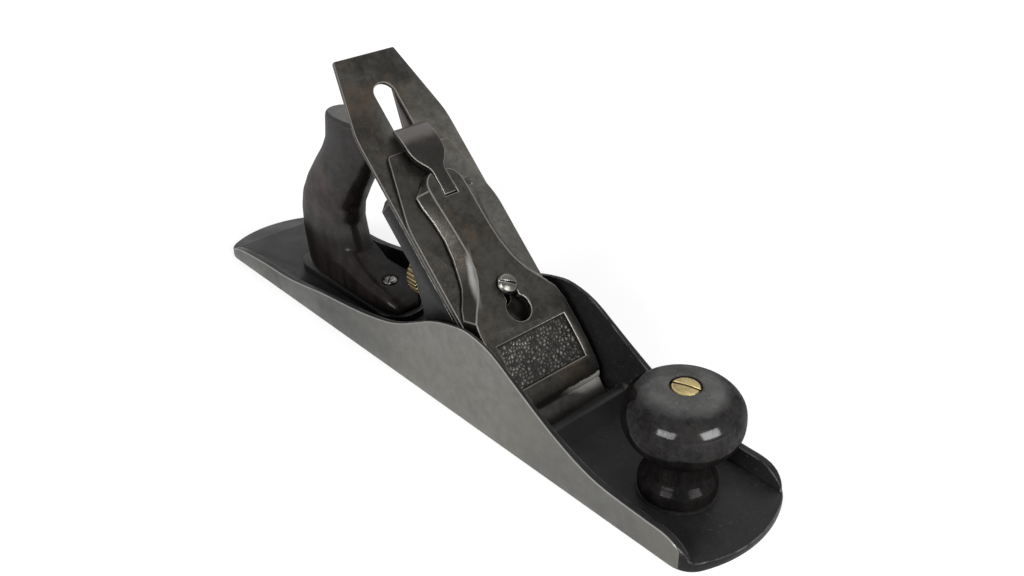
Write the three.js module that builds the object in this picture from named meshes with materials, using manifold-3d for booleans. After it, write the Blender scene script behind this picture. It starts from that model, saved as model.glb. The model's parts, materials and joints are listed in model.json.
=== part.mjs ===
// Iron bench plane, jack size: a one-piece sole casting, a frog that slides on an inclined seat,
// a cutter held by a lever cap, a screw and lever to set it, and a turned knob and shaped handle.
//
// Frame: +X points to the toe, +Y to the plane's left, +Z up; the sole lies on Z = 0 and is
// centred on X = Y = 0. Lengths are millimetres.

import * as THREE from 'three';
import { mergeVertices } from 'three/addons/utils/BufferGeometryUtils.js';
import Module from 'manifold-3d';

const wasm = await Module();
wasm.setup();

// ---------------------------------------------------------------- driving dimensions

const gap = 0.3;                    // clearance between pieces that seat on each other
const slip = 0.35;                  // radial clearance of a screw in its hole
const pinSlip = 0.25;               // radial clearance of a thin pin, or of the head of a nut
const roundSteps = 20;              // facets round a screw or pin
const turnedSteps = 36;             // facets round the knob and the nuts

// sole casting
const soleLength = 355.6;
const soleWidth = 62.3;
const wallFoot = 3.8;               // thickness of the cheeks at the floor
const wallTop = 1.8;                // and at their highest point
const floorThickness = 4.4;
const rimHeight = 3.2;              // metal left at the very tip of toe and heel
const toeCrown = 9;                 // how far the curved toe stands past its corners
const heelCrown = 12.5;
const cornerSoftening = 7;          // length of the blend between a side and a curved end
const heelWallHeight = 10.6;
const cheekHeight = 48;
const cheekBack = 26.5;             // from the cutting line back to the highest point of the cheeks
const toeWallHeight = 13.6;

// bed and mouth
const bedAngle = THREE.MathUtils.degToRad(45);
const bedFoot = 77.2;               // X where the underside of the cutter meets the sole
const mouthFront = 82;              // X of the mouth's front edge
const mouthWidth = 53.6;
const mouthBackClearance = 1.3;     // square to the bed, behind the cutter
const ribHeight = 10.2;             // cross rib in front of the mouth
const ribFoot = 97;

// frog seat: an inclined plane that falls toward the mouth
const seatAngle = THREE.MathUtils.degToRad(8);
const seatFront = 71;
const seatFrontHeight = 5.8;
const seatBack = 14;
const seatWidth = 50;
const tongueWidth = 10;
const tongueDepth = 2.4;
const tongueLength = 30;
const tongueStart = 6;              // behind the front of the seat
const frogTravel = 1;               // each way along the seat

// frog
const frogWidth = 50.4;
const frogTop = 125;                // length of the bed face, from the foot of the bed
const frogPlate = 9;                // thickness of the bed plate
const frogWeb = 6;                  // side walls
const frogBase = 5;                 // base under the fixing screws
const frogBack = 12.5;              // X of the back of the base
const frogCornerCut = 4.5;
const frogRibWidth = 13;            // middle rib that takes the stud
const frogToeBlunt = 1.6;

// frog fixing screws, square to the seat
const frogScrewSpacing = 32.4;
const frogScrewBack = 24;           // behind the front of the seat
const frogScrewRadius = 2.9;
const frogScrewHead = 5;
const frogScrewHeadHeight = 3;
const washerRadius = 6.2;
const washerThickness = 1.2;
const frogScrewDepth = 5.4;

// cutter and cap iron
const cutterWidth = 50.8;
const cutterThickness = 2;
const cutterTop = 190.5;
const cutterShoulder = 154;
const cutterTopWidth = 33.4;
const cutterEdgeRise = 0.3;         // the edge stands this far inside the sole at rest
const cutterBevel = 5.2;
const cutterSlotWidth = 11.2;
const cutterSlotTop = 175;
const keyholeCentre = 29;
const keyholeRadius = 9.3;
const capIronThickness = 2;
const capIronTop = 140;
const capIronTopWidth = 34;
const capIronShoulder = 106;
const capIronHump = 0.8;
const capIronSetback = 1.6;
const depthOut = 1.5;               // cutter travel toward the sole
const depthBack = 3;                // cutter travel up the bed

// cap iron screw
const capScrewAt = 44;
const capScrewRadius = 3.9;
const capScrewHead = 7.8;
const capScrewHeadHeight = 3.2;

// lever cap
const leverCapLip = 11;
const leverCapTop = 125;
const leverCapWidth = 50;
const leverCapFace = 12;            // height of the face above the bed round the keyhole
const leverCapUnderside = 5;
const leverCapSkin = 3;
const leverCapWall = 3;
const leverCapHollowLow = 15.6;     // the hollow underneath, up the bed
const leverCapHollowHigh = 111;
const panelLow = 22;
const panelHigh = 43;
const panelWidth = 40;
const panelDepth = 0.95;
const panelDip = 1.35;              // extra depth at the low end, where the face falls away
const leverScrewAt = 65.5;
const leverScrewRadius = 3.2;
const leverScrewHead = 4.9;
const leverScrewHeadHeight = 3;
const keyholeBigRadius = 6.2;
const keyholeDrop = 11.5;           // from the screw to the big end of the keyhole
const notchWidth = 7.2;
const notchLow = 112.8;

// cam lever
const camPinAt = 116;
const camPinHeight = 7.4;
const camPinRadius = 1.2;
const camPinBlind = 8.6;            // the pin stops inside the cap on one side
const camPinOpen = 12.4;            // and is driven in from the other
const camRadius = 2.8;
const camNeckWidth = 6.6;
const camPaddleWidth = 18.6;
const camLeverTop = 150.4;
const camLeverThickness = 2.6;
const camLeverTip = 4.6;            // height of the rolled tip above the bed

// lever cap spring
const springStart = 92;
const springEnd = 109.8;
const springWidth = 9;
const springThickness = 0.6;
const springRivetRadius = 1.6;
const springRivetAt = 96;
const springSeat = 6.7;             // ceiling of the cap's hollow above the rivet
const springRivetDepth = 1.6;       // how far the rivet goes into the cap

// lateral lever
const lateralPivotAt = 113;
const rollerDrop = 6.5;             // from the pivot down to the roller
const rollerRadius = 3.8;
const lateralThickness = 1.6;
const lateralLength = 72;
const lateralWidth = 15;
const lateralTipWidth = 10;
const lateralLean = THREE.MathUtils.degToRad(12);
const lateralRecess = 2.6;          // below the bed
const lateralRecessLow = 98.5;
const lateralRecessWidth = 25;

// yoke and depth screw
const yokePinX = 3;
const yokePinZ = 58;
const yokePinRadius = 1.7;
const yokeTipAt = 84.5;
const yokeTipHeight = 4;
const yokeTipWidth = 5;
const yokeThickness = 3.4;
const yokeWidth = 9;
const studHeight = 38;
const studRadius = 3.1;
const studBack = -25;
const studFront = 17;
const collarX = -7;                 // middle of the groove that the yoke rides in
const collarRadius = 7.6;
const grooveRadius = 5;
const grooveWidth = 6.4;
const prongThickness = 2.2;
const collarFlange = 1.6;
const wheelRadius = 11.8;
const wheelWidth = 7;
const wheelTeeth = 32;

// frog adjusting screw and clip
const adjusterRadius = 2.2;
const adjusterHead = 4.2;
const adjusterBelowSeat = 5.6;
const adjusterReach = 15;
const clipThickness = 1.6;
const clipWidth = 11;
const clipScrewAbove = 3.6;
const clipScrewRadius = 1.8;

// knob
const knobFromToe = 38.2;
const knobRadius = 23.8;
const knobTop = 54;
const knobBaseRadius = 15.9;
const knobNeckRadius = 12.5;
const knobBossHeight = 0.6;
const bossEdge = 0.6;               // how far a boss stands out round the wood on it
const boltRadius = 3.2;
const nutRadius = 5.9;
const nutHeadHeight = 2.6;
const nutBarrel = 4.7;
const nutLength = 13;
const knobBoltFoot = 1.8;           // height of each bolt's lower end above the sole
const handleBoltFoot = 3;

// handle
const handlePadHeight = 8;
const handlePadMargin = 3;          // the pad stands out this far before and behind the handle
const handleFromHeel = 55.8;
const handleLength = 88;
const handleWidth = 25;
const handleTop = 103.5;
const handleBoltAhead = 60;         // from the back of the handle to the top of its bolt
const handleBoltLean = THREE.MathUtils.degToRad(22);
const toeScrewAhead = 71;
const toeScrewTop = 20.2;
const toeScrewRadius = 2.3;
const toeScrewHead = 3.8;
const toeScrewHeadHeight = 2.3;
const toeScrewFoot = 2.6;           // height of its lower end above the sole

// ---------------------------------------------------------------- materials

const finish = (color, metalness, roughness) =>
  new THREE.MeshStandardMaterial({ color, metalness, roughness });

const groundIron = finish(0x7a7a73, 0.8, 0.45);
const japannedIron = finish(0x26262a, 0.2, 0.4);
const agedSteel = finish(0x5d5850, 0.85, 0.42);
const darkSteel = finish(0x3b3a39, 0.7, 0.4);
const brightSteel = finish(0xa8a49a, 0.9, 0.3);
const brass = finish(0xa8905a, 0.9, 0.35);
const stainedWood = finish(0x1d1513, 0, 0.3);

// ---------------------------------------------------------------- shared tools

const along = new THREE.Vector3(1, 0, 0);
const across = new THREE.Vector3(0, 1, 0);
const up = new THREE.Vector3(0, 0, 1);

// a closed solid from a geometry, with its shared vertices merged
function solid(geometry) {
  geometry.deleteAttribute('normal');
  geometry.deleteAttribute('uv');
  const merged = mergeVertices(geometry, 1e-4);
  return new wasm.Manifold(new wasm.Mesh({
    numProp: 3,
    vertProperties: Float32Array.from(merged.attributes.position.array),
    triVerts: Uint32Array.from(merged.index.array),
  }));
}

function join(...parts) {
  return parts.reduce((whole, part) => whole.add(part));
}

function cut(body, ...tools) {
  return tools.reduce((whole, tool) => whole.subtract(tool), body);
}

// a named mesh from a solid
function piece(name, body, material) {
  const { vertProperties, triVerts } = body.getMesh();
  const geometry = new THREE.BufferGeometry();
  geometry.setAttribute('position', new THREE.BufferAttribute(Float32Array.from(vertProperties), 3));
  geometry.setIndex(new THREE.BufferAttribute(Uint32Array.from(triVerts), 1));
  geometry.computeVertexNormals();
  const mesh = new THREE.Mesh(geometry, material);
  mesh.name = name;
  return mesh;
}

function polygon(points) {
  return new THREE.Shape(points.map(([x, y]) => new THREE.Vector2(x, y)));
}

// a slot with round ends, standing along Y, at cross position x
function slotShape(radius, low, high, x = 0) {
  const shape = new THREE.Shape();
  shape.absarc(x, high, radius, 0, Math.PI, false);
  shape.absarc(x, low, radius, Math.PI, 2 * Math.PI, false);
  return shape;
}

function rectangle(width, low, high, x = 0) {
  const left = x - width / 2;
  const right = x + width / 2;
  return polygon([[left, low], [right, low], [right, high], [left, high]]);
}

// a shape drawn in the XY plane, raised between two heights
function raised(shape, from, to, steps = 8) {
  const geometry = new THREE.ExtrudeGeometry(shape, {
    depth: to - from,
    bevelEnabled: false,
    curveSegments: steps,
  });
  return geometry.translate(0, 0, from);
}

// a side view (X along, Y up) given a width across; yFrom and yTo are places across
function sideCut(shape, yFrom, yTo, steps = 8) {
  return raised(shape, -yTo, -yFrom, steps).rotateX(Math.PI / 2);
}

// a round bar along Z
function rod(radius, from, to, steps = roundSteps) {
  return new THREE.CylinderGeometry(radius, radius, to - from, steps)
    .rotateX(Math.PI / 2)
    .translate(0, 0, (from + to) / 2);
}

// a body turned about Z from a list of [radius, height], bottom to top
function turned(profile, steps = turnedSteps) {
  const points = profile.map(([radius, height]) => new THREE.Vector2(radius, height));
  return new THREE.LatheGeometry(points, steps).rotateX(Math.PI / 2);
}

// points round an oval; a squareness of 2 is an ellipse, and more is closer to a rectangle
function oval(halfLong, halfWide, squareness, steps, turn = 2 * Math.PI) {
  const power = 2 / squareness;
  const rounded = (value) => Math.sign(value) * Math.abs(value) ** power;
  return Array.from({ length: steps }, (_, i) => {
    const angle = i / steps * turn;
    return [halfLong * rounded(Math.cos(angle)), halfWide * rounded(Math.sin(angle))];
  });
}

// a closed body through rings with as many points as each other, anticlockwise seen from the last
function lofted(rings) {
  const count = rings[0].length;
  const last = (rings.length - 1) * count;
  const index = [];
  for (let level = 0; level < last; level += count) {
    for (let i = 0; i < count; i += 1) {
      const next = (i + 1) % count;
      index.push(level + i, level + next, level + count + i);
      index.push(level + next, level + count + next, level + count + i);
    }
  }
  for (let i = 1; i < count - 1; i += 1) {
    index.push(0, i + 1, i, last, last + i, last + i + 1);
  }
  const geometry = new THREE.BufferGeometry();
  geometry.setAttribute('position', new THREE.Float32BufferAttribute(rings.flat(2), 3));
  geometry.setIndex(index);
  return geometry;
}

function screwSlot(headRadius, width, from, to, turn = 0) {
  return raised(rectangle(width, -headRadius - 1, headRadius + 1), from, to).rotateZ(turn);
}

// ---------------------------------------------------------------- working frames

// bed frame: X across the plane, Y up the bed, Z off the bed; origin at the foot of the bed
const bedMatrix = new THREE.Matrix4().makeBasis(
  across,
  new THREE.Vector3(-Math.cos(bedAngle), 0, Math.sin(bedAngle)),
  new THREE.Vector3(Math.sin(bedAngle), 0, Math.cos(bedAngle)),
).setPosition(bedFoot, 0, 0);

// seat frame: X down the seat toward the mouth, Y across, Z square to the seat
const seatMatrix = new THREE.Matrix4().makeRotationY(seatAngle)
  .setPosition(seatFront, 0, seatFrontHeight);

// stands a shape up: its X goes along Y, its Y along Z and its depth along X
const standingMatrix = new THREE.Matrix4().makeBasis(across, up, along);

// a side view in the bed frame: X up the bed, Y off the bed, given a width across
function bedSide(shape, halfWidth, steps = 8) {
  return raised(shape, -halfWidth, halfWidth, steps).applyMatrix4(standingMatrix);
}

function frameGroup(matrix) {
  const group = new THREE.Group();
  matrix.decompose(group.position, group.quaternion, group.scale);
  return group;
}

const seatHeight = (x) => seatFrontHeight + (seatFront - x) * Math.tan(seatAngle);
const cutterEdge = cutterEdgeRise / Math.sin(bedAngle) - cutterThickness / Math.tan(bedAngle);
const capIronBottom = cutterThickness + gap;
const capIronFace = capIronBottom + capIronThickness;
const innerHalf = soleWidth / 2 - wallFoot;
const knobX = soleLength / 2 - knobFromToe;
const handleBack = handleFromHeel - soleLength / 2;
const handleBoltX = handleBack + handleBoltAhead;
const toeScrewX = handleBack + toeScrewAhead;

const group = new THREE.Group();
const bed = frameGroup(bedMatrix);
const seat = frameGroup(seatMatrix);
group.add(bed, seat);

// ---------------------------------------------------------------- sole casting

// plan of the sole: straight sides, a curved toe and heel, softened corners
function solePlan() {
  const half = soleWidth / 2;
  const end = (crown) => {
    const radius = (half * half + crown * crown) / (2 * crown);
    return { radius, angle: Math.asin(half / radius), centre: soleLength / 2 - radius };
  };
  const toe = end(toeCrown);
  const heel = end(heelCrown);
  const toeCorner = soleLength / 2 - toeCrown;
  const heelCorner = -soleLength / 2 + heelCrown;
  const toeTurn = toe.angle - cornerSoftening / toe.radius;
  const heelTurn = heel.angle - cornerSoftening / heel.radius;
  const shape = new THREE.Shape();
  shape.moveTo(heelCorner + cornerSoftening, -half);
  shape.lineTo(toeCorner - cornerSoftening, -half);
  shape.quadraticCurveTo(
    toeCorner, -half,
    toe.centre + toe.radius * Math.cos(toeTurn), -toe.radius * Math.sin(toeTurn),
  );
  shape.absarc(toe.centre, 0, toe.radius, -toeTurn, toeTurn, false);
  shape.quadraticCurveTo(toeCorner, half, toeCorner - cornerSoftening, half);
  shape.lineTo(heelCorner + cornerSoftening, half);
  shape.quadraticCurveTo(
    heelCorner, half,
    -heel.centre - heel.radius * Math.cos(heelTurn), heel.radius * Math.sin(heelTurn),
  );
  shape.absarc(-heel.centre, 0, heel.radius, Math.PI - heelTurn, Math.PI + heelTurn, false);
  shape.quadraticCurveTo(heelCorner, -half, heelCorner + cornerSoftening, -half);
  return shape;
}

// side view of the cheeks: low at heel and toe, one long swell round the frog
function cheekProfile() {
  const heelEnd = -soleLength / 2;
  const toeEnd = soleLength / 2;
  const peak = bedFoot - cheekBack;
  const swell = cheekHeight - heelWallHeight;
  const drop = cheekHeight - toeWallHeight;
  const line = new THREE.SplineCurve([
    [heelEnd + 13, rimHeight + 0.8],
    [heelEnd + 25, heelWallHeight - 2.4],
    [heelEnd + 52, heelWallHeight],
    [peak - 150, heelWallHeight + swell * 0.03],
    [peak - 117, heelWallHeight + swell * 0.17],
    [peak - 87, heelWallHeight + swell * 0.27],
    [peak - 64, heelWallHeight + swell * 0.395],
    [peak - 51, heelWallHeight + swell * 0.515],
    [peak - 39, heelWallHeight + swell * 0.675],
    [peak - 25, heelWallHeight + swell * 0.865],
    [peak - 10, heelWallHeight + swell * 0.98],
    [peak, cheekHeight],
    [peak + 13, toeWallHeight + drop * 0.91],
    [peak + 27, toeWallHeight + drop * 0.68],
    [peak + 40, toeWallHeight + drop * 0.46],
    [peak + 51, toeWallHeight + drop * 0.29],
    [peak + 64, toeWallHeight + drop * 0.13],
    [peak + 77, toeWallHeight + drop * 0.035],
    [peak + 97, toeWallHeight],
    [toeEnd - 20, toeWallHeight - 0.4],
    [toeEnd - 14.5, toeWallHeight - 2.2],
    [toeEnd - 10, toeWallHeight - 5.8],
    [toeEnd - 8.5, rimHeight + 1.8],
  ].map(([x, z]) => new THREE.Vector2(x, z)));
  const top = line.getPoints(64).map((point) => [point.x, point.y]);
  return polygon([
    [heelEnd - 1, 0],
    [toeEnd + 1, 0],
    [toeEnd + 1, rimHeight],
    ...top.reverse(),
    [heelEnd - 1, rimHeight],
  ]);
}

function soleCasting() {
  const blank = solid(raised(solePlan(), 0, cheekHeight + 1, 16))
    .intersect(solid(sideCut(cheekProfile(), -soleWidth, soleWidth)));
  const openHalf = soleWidth / 2 - wallTop;
  const hollow = solid(raised(polygon([
    [-innerHalf, floorThickness],
    [innerHalf, floorThickness],
    [openHalf, cheekHeight],
    [openHalf, cheekHeight + 2],
    [-openHalf, cheekHeight + 2],
    [-openHalf, cheekHeight],
  ]), -soleLength, soleLength).applyMatrix4(standingMatrix));

  const seatBlock = solid(sideCut(polygon([
    [seatBack, 1],
    [bedFoot - 3, 1],
    [bedFoot - 3, seatHeight(bedFoot - 3)],
    [seatBack, seatHeight(seatBack)],
  ]), -seatWidth / 2, seatWidth / 2));
  const tongueGroove = solid(raised(
    rectangle(tongueWidth, tongueStart - gap - frogTravel, tongueStart + tongueLength + gap + frogTravel),
    -tongueDepth, tongueDepth,
  ).rotateZ(Math.PI / 2).applyMatrix4(seatMatrix));
  const rib = solid(sideCut(polygon([
    [mouthFront - 1, 1],
    [ribFoot, 1],
    [ribFoot, floorThickness],
    [mouthFront + 4, ribHeight - 0.5],
    [mouthFront + 1.6, ribHeight],
    [mouthFront - 1, ribHeight - 0.6],
  ]), -innerHalf - wallTop, innerHalf + wallTop));
  const mouthBack = bedFoot - mouthBackClearance / Math.sin(bedAngle);
  const mouth = solid(sideCut(polygon([
    [mouthBack + 1, -1],
    [mouthFront, -1],
    [mouthFront, cheekHeight],
    [mouthBack - cheekHeight, cheekHeight],
  ]), -mouthWidth / 2, mouthWidth / 2));

  const padRadius = handleWidth / 2 + bossEdge;
  const padEnd = handlePadMargin - padRadius;
  const handlePad = solid(raised(
    slotShape(padRadius, handleBack - padEnd, handleBack + handleLength + padEnd), 1, handlePadHeight,
  ).rotateZ(-Math.PI / 2));
  const knobBoss = solid(rod(knobBaseRadius + bossEdge, 1, floorThickness + knobBossHeight)
    .translate(knobX, 0, 0));

  const boltHole = solid(rod(boltRadius + slip, knobBoltFoot - gap, knobTop).translate(knobX, 0, 0));
  const handleBoltHole = solid(handleBolt(boltRadius + slip, gap));
  const toeScrewHole = solid(rod(toeScrewRadius + slip, toeScrewFoot - gap, toeScrewTop).translate(toeScrewX, 0, 0));
  const frogScrewHoles = [-1, 1].map((side) => solid(
    rod(frogScrewRadius + slip, -frogScrewDepth - gap, 8)
      .translate(-frogScrewBack, side * frogScrewSpacing / 2, 0)
      .applyMatrix4(seatMatrix),
  ));
  const adjusterHole = solid(adjusterRod(adjusterRadius + slip, -gap - frogTravel, 10));

  return cut(
    join(cut(blank, hollow), seatBlock, rib, handlePad, knobBoss),
    mouth, tongueGroove, boltHole, handleBoltHole, toeScrewHole, ...frogScrewHoles, adjusterHole,
  );
}

// ---------------------------------------------------------------- places along slanted bolts

// a bar on the handle bolt's axis, from just above the sole up to the top of the handle
function handleBolt(radius, extra, from = 0, to = 0) {
  const length = (handleTop - handleBoltFoot) / Math.cos(handleBoltLean);
  return rod(radius, -length - extra + from, to)
    .rotateY(handleBoltLean)
    .translate(handleBoltX, 0, handleTop);
}

// a bar on the frog adjusting screw's axis; zero is the back of the seat
function adjusterRod(radius, from, to, steps = roundSteps) {
  return rod(radius, from - adjusterReach, to, steps)
    .rotateY(-Math.PI / 2 + seatAngle)
    .translate(seatBack, 0, seatHeight(seatBack) - adjusterBelowSeat);
}

group.add(piece('sole_casting', soleCasting(), groundIron));

// ---------------------------------------------------------------- frog

// a point of the bed frame, seen from the side: distance up the bed and height off it
function bedPoint(s, off) {
  return [
    bedFoot - s * Math.cos(bedAngle) + off * Math.sin(bedAngle),
    s * Math.sin(bedAngle) + off * Math.cos(bedAngle),
  ];
}

function onBed(geometry) {
  return geometry.applyMatrix4(bedMatrix);
}

function onSeat(geometry) {
  return geometry.applyMatrix4(seatMatrix);
}

function frogBody() {
  const half = frogWidth / 2;
  const seatTop = (x) => seatHeight(x) + gap;
  const faceSum = bedFoot - gap / Math.sin(bedAngle);
  const toeX = (faceSum - seatFrontHeight - gap - seatFront * Math.tan(seatAngle))
    / (1 - Math.tan(seatAngle)) - frogToeBlunt;
  const baseTop = seatTop(frogBack) + frogBase + 5;
  const outside = polygon([
    [toeX, seatTop(toeX)],
    [toeX, faceSum - toeX],
    bedPoint(frogTop, -gap),
    bedPoint(frogTop, -gap - frogPlate),
    bedPoint(frogTop - 30, -gap - frogPlate),
    bedPoint(frogTop - 47, -gap - frogPlate - 7),
    [frogBack, baseTop + 9],
    [frogBack, seatTop(frogBack)],
  ]);
  const hollow = polygon([
    [frogBack - 30, seatTop(frogBack) + frogBase],
    [frogBack + 21, seatTop(frogBack + 21) + frogBase],
    bedPoint(frogTop - 71, -gap - frogPlate),
    bedPoint(frogTop + 8, -gap - frogPlate),
    [frogBack - 30, seatTop(frogBack) + 60],
  ]);
  const block = solid(sideCut(outside, -half, half));
  const sideHollows = [-1, 1].map((side) => {
    const inner = frogRibWidth / 2;
    const outer = half - frogWeb;
    return solid(sideCut(hollow, side > 0 ? inner : -outer, side > 0 ? outer : -inner));
  });
  const ribBack = solid(sideCut(polygon([
    [frogBack - 30, seatTop(frogBack) + frogBase],
    [frogBack - 1, seatTop(frogBack) + frogBase],
    [frogBack - 1, studHeight + 7],
    [frogBack + 4, studHeight + 9],
    [yokePinX + 13, yokePinZ - 6],
    bedPoint(frogTop - 30, -gap - frogPlate),
    bedPoint(frogTop + 8, -gap - frogPlate),
    [frogBack - 30, seatTop(frogBack) + 60],
  ]), -frogRibWidth / 2 - 0.1, frogRibWidth / 2 + 0.1));
  const cornerCuts = [-1, 1].map((side) => solid(onBed(raised(polygon([
    [side * (half - frogCornerCut), frogTop + 0.5],
    [side * (half + 0.5), frogTop - frogCornerCut],
    [side * (half + 9), frogTop],
    [side * (half - frogCornerCut), frogTop + 9],
  ]), -frogPlate - 3, 1))));
  const tongue = solid(onSeat(raised(
    rectangle(tongueWidth - 2 * gap, tongueStart, tongueStart + tongueLength),
    -tongueDepth + gap, gap + 0.5,
  ).rotateZ(Math.PI / 2)));
  const ears = [-1, 1].map((side) => {
    const inner = yokeWidth / 2 + gap;
    const ear = polygon([
      [yokePinX - 4, yokePinZ - 4],
      [yokePinX + 6, yokePinZ - 6],
      [yokePinX + 9, yokePinZ + 1],
      [yokePinX - 5, yokePinZ + 12],
    ]);
    return solid(sideCut(ear, side > 0 ? inner : -inner - 4, side > 0 ? inner + 4 : -inner));
  });

  const yokeWindow = solid(onBed(raised(
    rectangle(yokeWidth + 2 * gap, yokeTipAt - 9, lateralRecessLow), -frogPlate - 5, 1,
  )));
  const pinHole = solid(rod(yokePinRadius + slip, -13, 13, 20)
    .rotateX(Math.PI / 2).translate(yokePinX, 0, yokePinZ));
  const leverScrewHole = solid(onBed(rod(leverScrewRadius + slip, -frogPlate - 1, 1)
    .translate(0, leverScrewAt, 0)));
  const capScrewPocket = solid(onBed(raised(slotShape(
    capScrewHead + 0.6, capScrewAt - depthOut - gap, capScrewAt + depthBack + gap,
  ), -capScrewHeadHeight - 1.2, 1)));
  const lateralPocket = solid(onBed(raised(
    rectangle(lateralRecessWidth, lateralRecessLow, frogTop + 5), -lateralRecess, 1,
  )));
  const pivotHole = solid(onBed(rod(2 + slip, -8, 1, 20).translate(0, lateralPivotAt, 0)));
  const studHole = solid(rod(studRadius + slip, -studFront - gap, -frogBack + 10)
    .rotateY(-Math.PI / 2).translate(0, 0, studHeight));
  const clipScrewHole = solid(rod(clipScrewRadius + slip, -frogBack - 9, -frogBack + 4, 20)
    .rotateY(-Math.PI / 2).translate(0, 0, clipScrewHeight()));
  const fixings = [-1, 1].flatMap((side) => {
    const slot = (radius, from, to) => solid(onSeat(raised(
      slotShape(radius, -frogTravel - gap, frogTravel + gap), from, to,
    ).rotateZ(Math.PI / 2).translate(-frogScrewBack, side * frogScrewSpacing / 2, 0)));
    return [slot(frogScrewRadius + gap, -2, 12), slot(washerRadius + gap, gap + frogBase, 40)];
  });

  return cut(
    join(cut(block, ...sideHollows, ribBack), tongue, ...ears),
    ...cornerCuts, yokeWindow, pinHole, leverScrewHole, capScrewPocket, lateralPocket,
    pivotHole, studHole, clipScrewHole, ...fixings,
  );
}

function clipScrewHeight() {
  return seatHeight(seatBack) + clipScrewAbove + 1.4;
}

group.add(piece('frog', frogBody(), japannedIron));

// ---------------------------------------------------------------- frog fixings

function frogScrew() {
  const under = gap + frogBase + gap + washerThickness + gap;
  const body = solid(turned([
    [0, -frogScrewDepth],
    [frogScrewRadius, -frogScrewDepth],
    [frogScrewRadius, under],
    [frogScrewHead, under],
    [frogScrewHead, under + frogScrewHeadHeight - 0.8],
    [frogScrewHead - 1, under + frogScrewHeadHeight],
    [0, under + frogScrewHeadHeight],
  ], roundSteps));
  return cut(body, solid(screwSlot(
    frogScrewHead, 1.1, under + frogScrewHeadHeight - 1.4, under + frogScrewHeadHeight + 1,
  )));
}

function ring(outer, inner, from, to, steps = roundSteps) {
  return solid(turned([
    [inner, from], [outer, from], [outer, to], [inner, to], [inner, from],
  ], steps));
}

for (const [side, name] of [[-1, 'right'], [1, 'left']]) {
  const screw = piece(`frog_screw_${name}`, frogScrew(), agedSteel);
  const washerLow = 2 * gap + frogBase;
  const washer = piece(
    `frog_washer_${name}`,
    ring(washerRadius, frogScrewRadius + slip, washerLow, washerLow + washerThickness),
    agedSteel,
  );
  for (const part of [screw, washer]) {
    part.position.set(-frogScrewBack, side * frogScrewSpacing / 2, 0);
    seat.add(part);
  }
}

// ---------------------------------------------------------------- frog adjusting screw and clip

function adjustingScrew() {
  const clipAt = seatBack - frogBack + gap;
  const neck = adjusterRadius - 0.6;
  const body = solid(turned([
    [0, -adjusterReach],
    [adjusterRadius - 0.6, -adjusterReach],
    [adjusterRadius, -adjusterReach + 0.6],
    [adjusterRadius, clipAt - 0.6],
    [neck, clipAt - 0.6],
    [neck, clipAt + clipThickness + 0.9],
    [adjusterHead, clipAt + clipThickness + 0.9],
    [adjusterHead, clipAt + clipThickness + 3.6],
    [adjusterHead - 0.8, clipAt + clipThickness + 4.4],
    [0, clipAt + clipThickness + 4.4],
  ], roundSteps));
  const headTop = clipAt + clipThickness + 4.4;
  return cut(body, solid(screwSlot(adjusterHead, 1, headTop - 1.6, headTop + 1, 0.5)));
}

const adjuster = piece('frog_adjusting_screw', adjustingScrew(), agedSteel);
adjuster.rotation.y = -Math.PI / 2 + seatAngle;
adjuster.position.set(seatBack, 0, seatHeight(seatBack) - adjusterBelowSeat);
group.add(adjuster);

// the clip hangs on the back of the frog and straddles the neck of the adjusting screw
function adjustingClip() {
  const neckHeight = seatHeight(seatBack) - adjusterBelowSeat + (seatBack - frogBack) * Math.tan(seatAngle);
  const top = clipScrewHeight() + 4.5;
  const low = neckHeight - 2.6;
  const plate = solid(sideCut(
    rectangle(clipThickness, low, top, frogBack - gap - clipThickness / 2), -clipWidth / 2, clipWidth / 2,
  ));
  const notch = solid(raised(slotShape(adjusterRadius, -9, 0), -3, 6)
    .rotateZ(-Math.PI / 2)
    .rotateY(-Math.PI / 2)
    .rotateX(Math.PI / 2)
    .translate(frogBack - gap, 0, neckHeight));
  const screwHole = solid(rod(clipScrewRadius + slip, -9, 9, 20)
    .rotateY(Math.PI / 2).translate(frogBack, 0, clipScrewHeight()));
  return cut(plate, notch, screwHole);
}

group.add(piece('frog_adjusting_clip', adjustingClip(), agedSteel));

function clipScrew() {
  const headFrom = gap + clipThickness + gap;
  const body = solid(turned([
    [0, -8],
    [clipScrewRadius, -8],
    [clipScrewRadius, headFrom],
    [clipScrewRadius + 1.6, headFrom],
    [clipScrewRadius + 1.3, headFrom + 1.4],
    [0.9, headFrom + 2],
    [0, headFrom + 2],
  ], 20));
  return cut(body, solid(screwSlot(clipScrewRadius + 1.6, 0.8, headFrom + 1, headFrom + 3)));
}

const clipScrewPiece = piece('frog_clip_screw', clipScrew(), agedSteel);
clipScrewPiece.rotation.y = -Math.PI / 2;
clipScrewPiece.position.set(frogBack, 0, clipScrewHeight());
group.add(clipScrewPiece);

// ---------------------------------------------------------------- cutter and cap iron

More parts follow.
